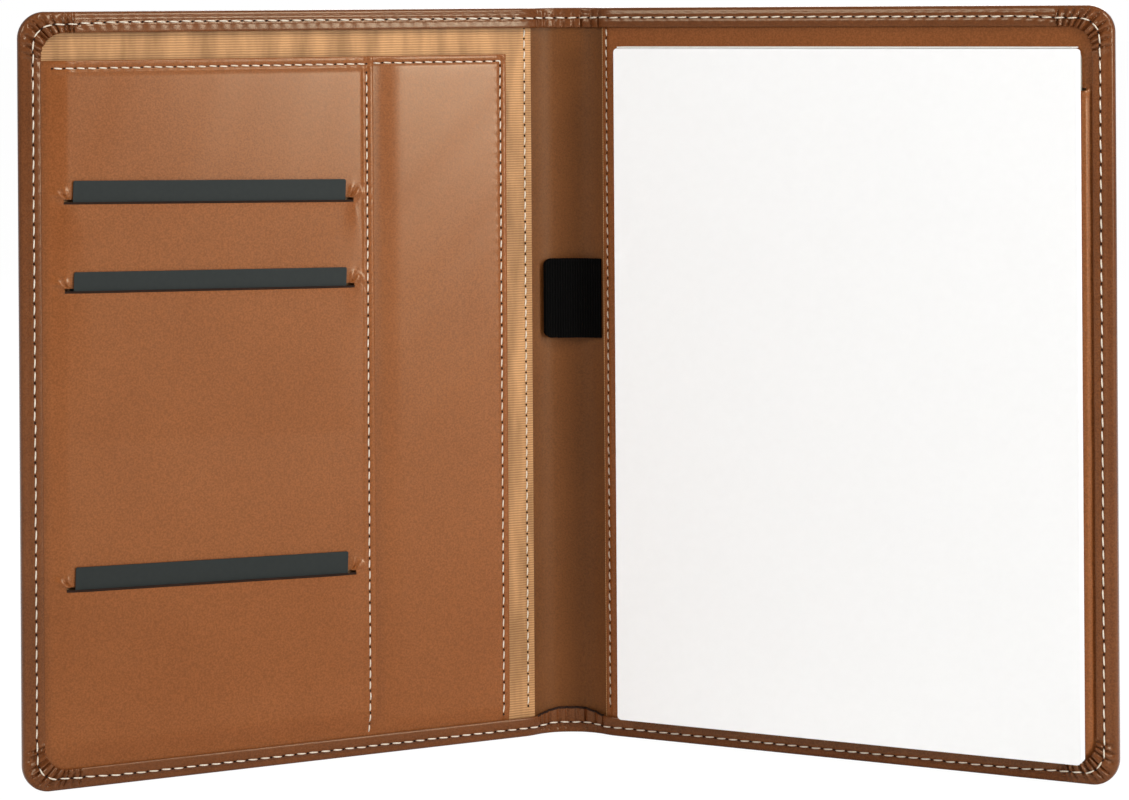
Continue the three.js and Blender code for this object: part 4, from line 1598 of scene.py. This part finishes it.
@dataclass
class PenLoop:
    """The loop of black elastic on the spine, whose ends run under the panel of the right cover."""

    folder: Folder
    left: float = -8.1
    right: float = 11.4
    foot: float = 125.5
    width: float = 25.0
    rise: float = 3.0
    webbing: float = 0.7
    corner: float = 2.4
    fold: float = 0.9
    rest: float = 0.5
    drawn_in: float = 0.74

    def dress(self) -> None:
        """Builds the loop and hangs it on the spine."""
        f = self.folder
        share = np.linspace(0, 1, 40)
        bend = self.left + self.fold
        back = self.right + (bend - self.right) * share
        around = np.linspace(0, math.pi, 12)[1:-1]
        x = np.concatenate([back, bend - self.fold * np.sin(around), back[::-1]])
        swell = self.rise * np.sin(math.pi * share) ** 0.75 * (0.35 + 0.65 * share)
        front = np.maximum(swell, 2 * self.fold * share)[::-1]
        lift = self.rest + np.concatenate([0 * share, self.fold * (1 - np.cos(around)), front])
        up = np.linspace(-1, 1, 31)
        cloth = lay_grid("pen_loop_elastic", len(x), len(up))
        near_fold = np.clip(self.left + self.corner - x, 0, self.corner)
        half = self.width / 2 - self.corner + np.sqrt(np.maximum(self.corner**2 - near_fold**2, 0))
        z = self.foot + self.width / 2 + half[cloth.column] * up[cloth.row]
        u = (np.arcsin(np.clip(x / f.spine_radius, -1, 1)) - f.open_angle) * f.spine_radius
        far = 2 * f.middle - u
        facing = SpineFacing(f, Side.RIGHT)
        v = np.maximum(facing.level(u), facing.level(far)) + lift
        move_points(cloth.piece, f.place(Side.RIGHT, u[cloth.column], v[cloth.column], z))
        apply_modifier(cloth.piece, "SOLIDIFY", thickness=self.webbing * MM, offset=0.0)
        merge_points(cloth.piece)
        soften(cloth.piece)
        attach(ELASTIC.dress(cloth.piece), "spine")
        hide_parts("pen_loop")
        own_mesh(cloth.piece)
        log.info("pen loop: %d faces", len(cloth.piece.data.polygons))


@dataclass(frozen=True)
class Lamp:
    """A soft square lamp: its name, its place and side in metres, and its power in watts."""

    name: str
    place: tuple[float, float, float]
    size: float
    power: float

    def hang(self, target: tuple[float, float, float]) -> None:
        """Hangs the lamp so that it looks at the target.

        Args:
            target: a point in metres.
        """
        deselect()
        bpy.ops.object.light_add(type="AREA", location=self.place)
        lamp = bpy.context.object
        lamp.name = self.name
        lamp.data.size = self.size
        lamp.data.energy = self.power
        away = np.array(self.place) - np.array(target)
        lamp.rotation_euler = (math.atan2(math.hypot(*away[:2]), away[2]), 0, math.atan2(away[0], -away[1]))


@dataclass
class Studio:
    """A pale floor, a white surround, soft lamps and the camera."""

    lens: float = 97.55
    camera: tuple[float, float, float] = (0.0, -0.9348, 0.2327)
    roll: float = -0.0065
    shift_x: float = -0.0013
    shift_y: float = -0.355
    surround_strength: float = 0.24
    target: tuple[float, float, float] = (0.0, 0.0, 0.12)
    lamps: tuple[Lamp, ...] = (
        Lamp("right_lamp", (1.1, -0.98, 0.33), 0.38, 8.0),
        Lamp("left_lamp", (-0.98, -0.95, 0.8), 0.5, 7.0),
        Lamp("top_lamp", (0.7, -0.68, 1.05), 0.4, 7.5),
        Lamp("back_lamp", (0.2, 1.2, 0.8), 0.9, 12.0),
    )

    def floor(self) -> None:
        """Lays the floor, which keeps the folder's shadow."""
        deselect()
        bpy.ops.mesh.primitive_plane_add(size=30, location=(0, 0, 0))
        floor = bpy.context.object
        floor.name = "floor"
        shading = Shading("floor", 0.9)
        shading.colour(shading.mix(shading.noise(3.0), (236, 236, 236), (240, 240, 240)))
        glow = shading.add("ShaderNodeEmission", Color=WHITE, Strength=1.05).outputs[0]
        seen = shading.weighted((shading.add("ShaderNodeLightPath").outputs["Is Camera Ray"], 0.93))
        mix = shading.add("ShaderNodeMixShader")
        for value, socket in zip((seen, shading.shader.outputs[0], glow), mix.inputs):
            shading.feed(value, socket)
        shading.feed(mix.outputs[0], shading.tree.nodes["Material Output"].inputs["Surface"])
        floor.data.materials.append(shading.material)

    def surround(self) -> None:
        """Makes the world a plain white to the camera, which lights the folder softly."""
        world = bpy.data.worlds.new("surround")
        bpy.context.scene.world = world
        world.use_nodes = True
        nodes, links = world.node_tree.nodes, world.node_tree.links
        soft, seen = nodes["Background"], nodes.new("ShaderNodeBackground")
        for background, strength in ((soft, self.surround_strength), (seen, 1.0)):
            background.inputs["Color"].default_value = WHITE
            background.inputs["Strength"].default_value = strength
        camera = nodes.new("ShaderNodeLightPath").outputs["Is Camera Ray"]
        mix = nodes.new("ShaderNodeMixShader")
        for output, socket in zip((camera, soft.outputs[0], seen.outputs[0]), mix.inputs):
            links.new(output, socket)
        links.new(mix.outputs[0], nodes["World Output"].inputs["Surface"])

    def shoot(self) -> None:
        """Sets the floor, surround, lamps and camera."""
        self.floor()
        self.surround()
        for lamp in self.lamps:
            lamp.hang(self.target)
        deselect()
        bpy.ops.object.camera_add(location=self.camera, rotation=(math.pi / 2, -self.roll, 0))
        camera = bpy.context.object
        camera.name = "camera"
        camera.data.lens = self.lens
        camera.data.sensor_width = 36
        camera.data.shift_x = self.shift_x
        camera.data.shift_y = self.shift_y
        camera.data.clip_start = 0.01
        bpy.context.scene.camera = camera
        bpy.context.scene.view_settings.view_transform = "Standard"
        log.info("studio: floor, surround, %d lamps and a camera", len(self.lamps))


def dress_frame(nodes: dict[str, Piece]) -> None:
    """Gives the plain pieces of the frame that stay as they are their finishes.

    Args:
        nodes: the frame's pieces by name.
    """
    finishes = {"board": BOARD, "backing": BOARD, "binding": GLUE, "card_sleeve": SLEEVE, "card_": CARD}
    for name, node in nodes.items():
        word = next((word for word in finishes if word in name), None)
        if word and name != "card_panel":
            finishes[word].dress(node)
    log.info("frame: %d pieces", len(nodes))


def main() -> None:
    """Builds the folder and the studio."""
    logging.basicConfig(level=logging.INFO, format="%(message)s")
    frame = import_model()
    folder = Folder(hinge_y=frame["joints"][0]["pos_m"][1] / MM)
    dress_frame(frame["nodes"])
    for side in Side:
        CoverSkin(folder, side).dress()
        SpineFacing(folder, side).dress()
        Lining(folder, side).dress()
    CardPanel(folder).dress()
    SidePocket(folder).dress()
    PadPanel(folder).dress()
    WritingPad(folder).dress()
    PenLoop(folder).dress()
    Studio().shoot()


if __name__ == "__main__":
    main()
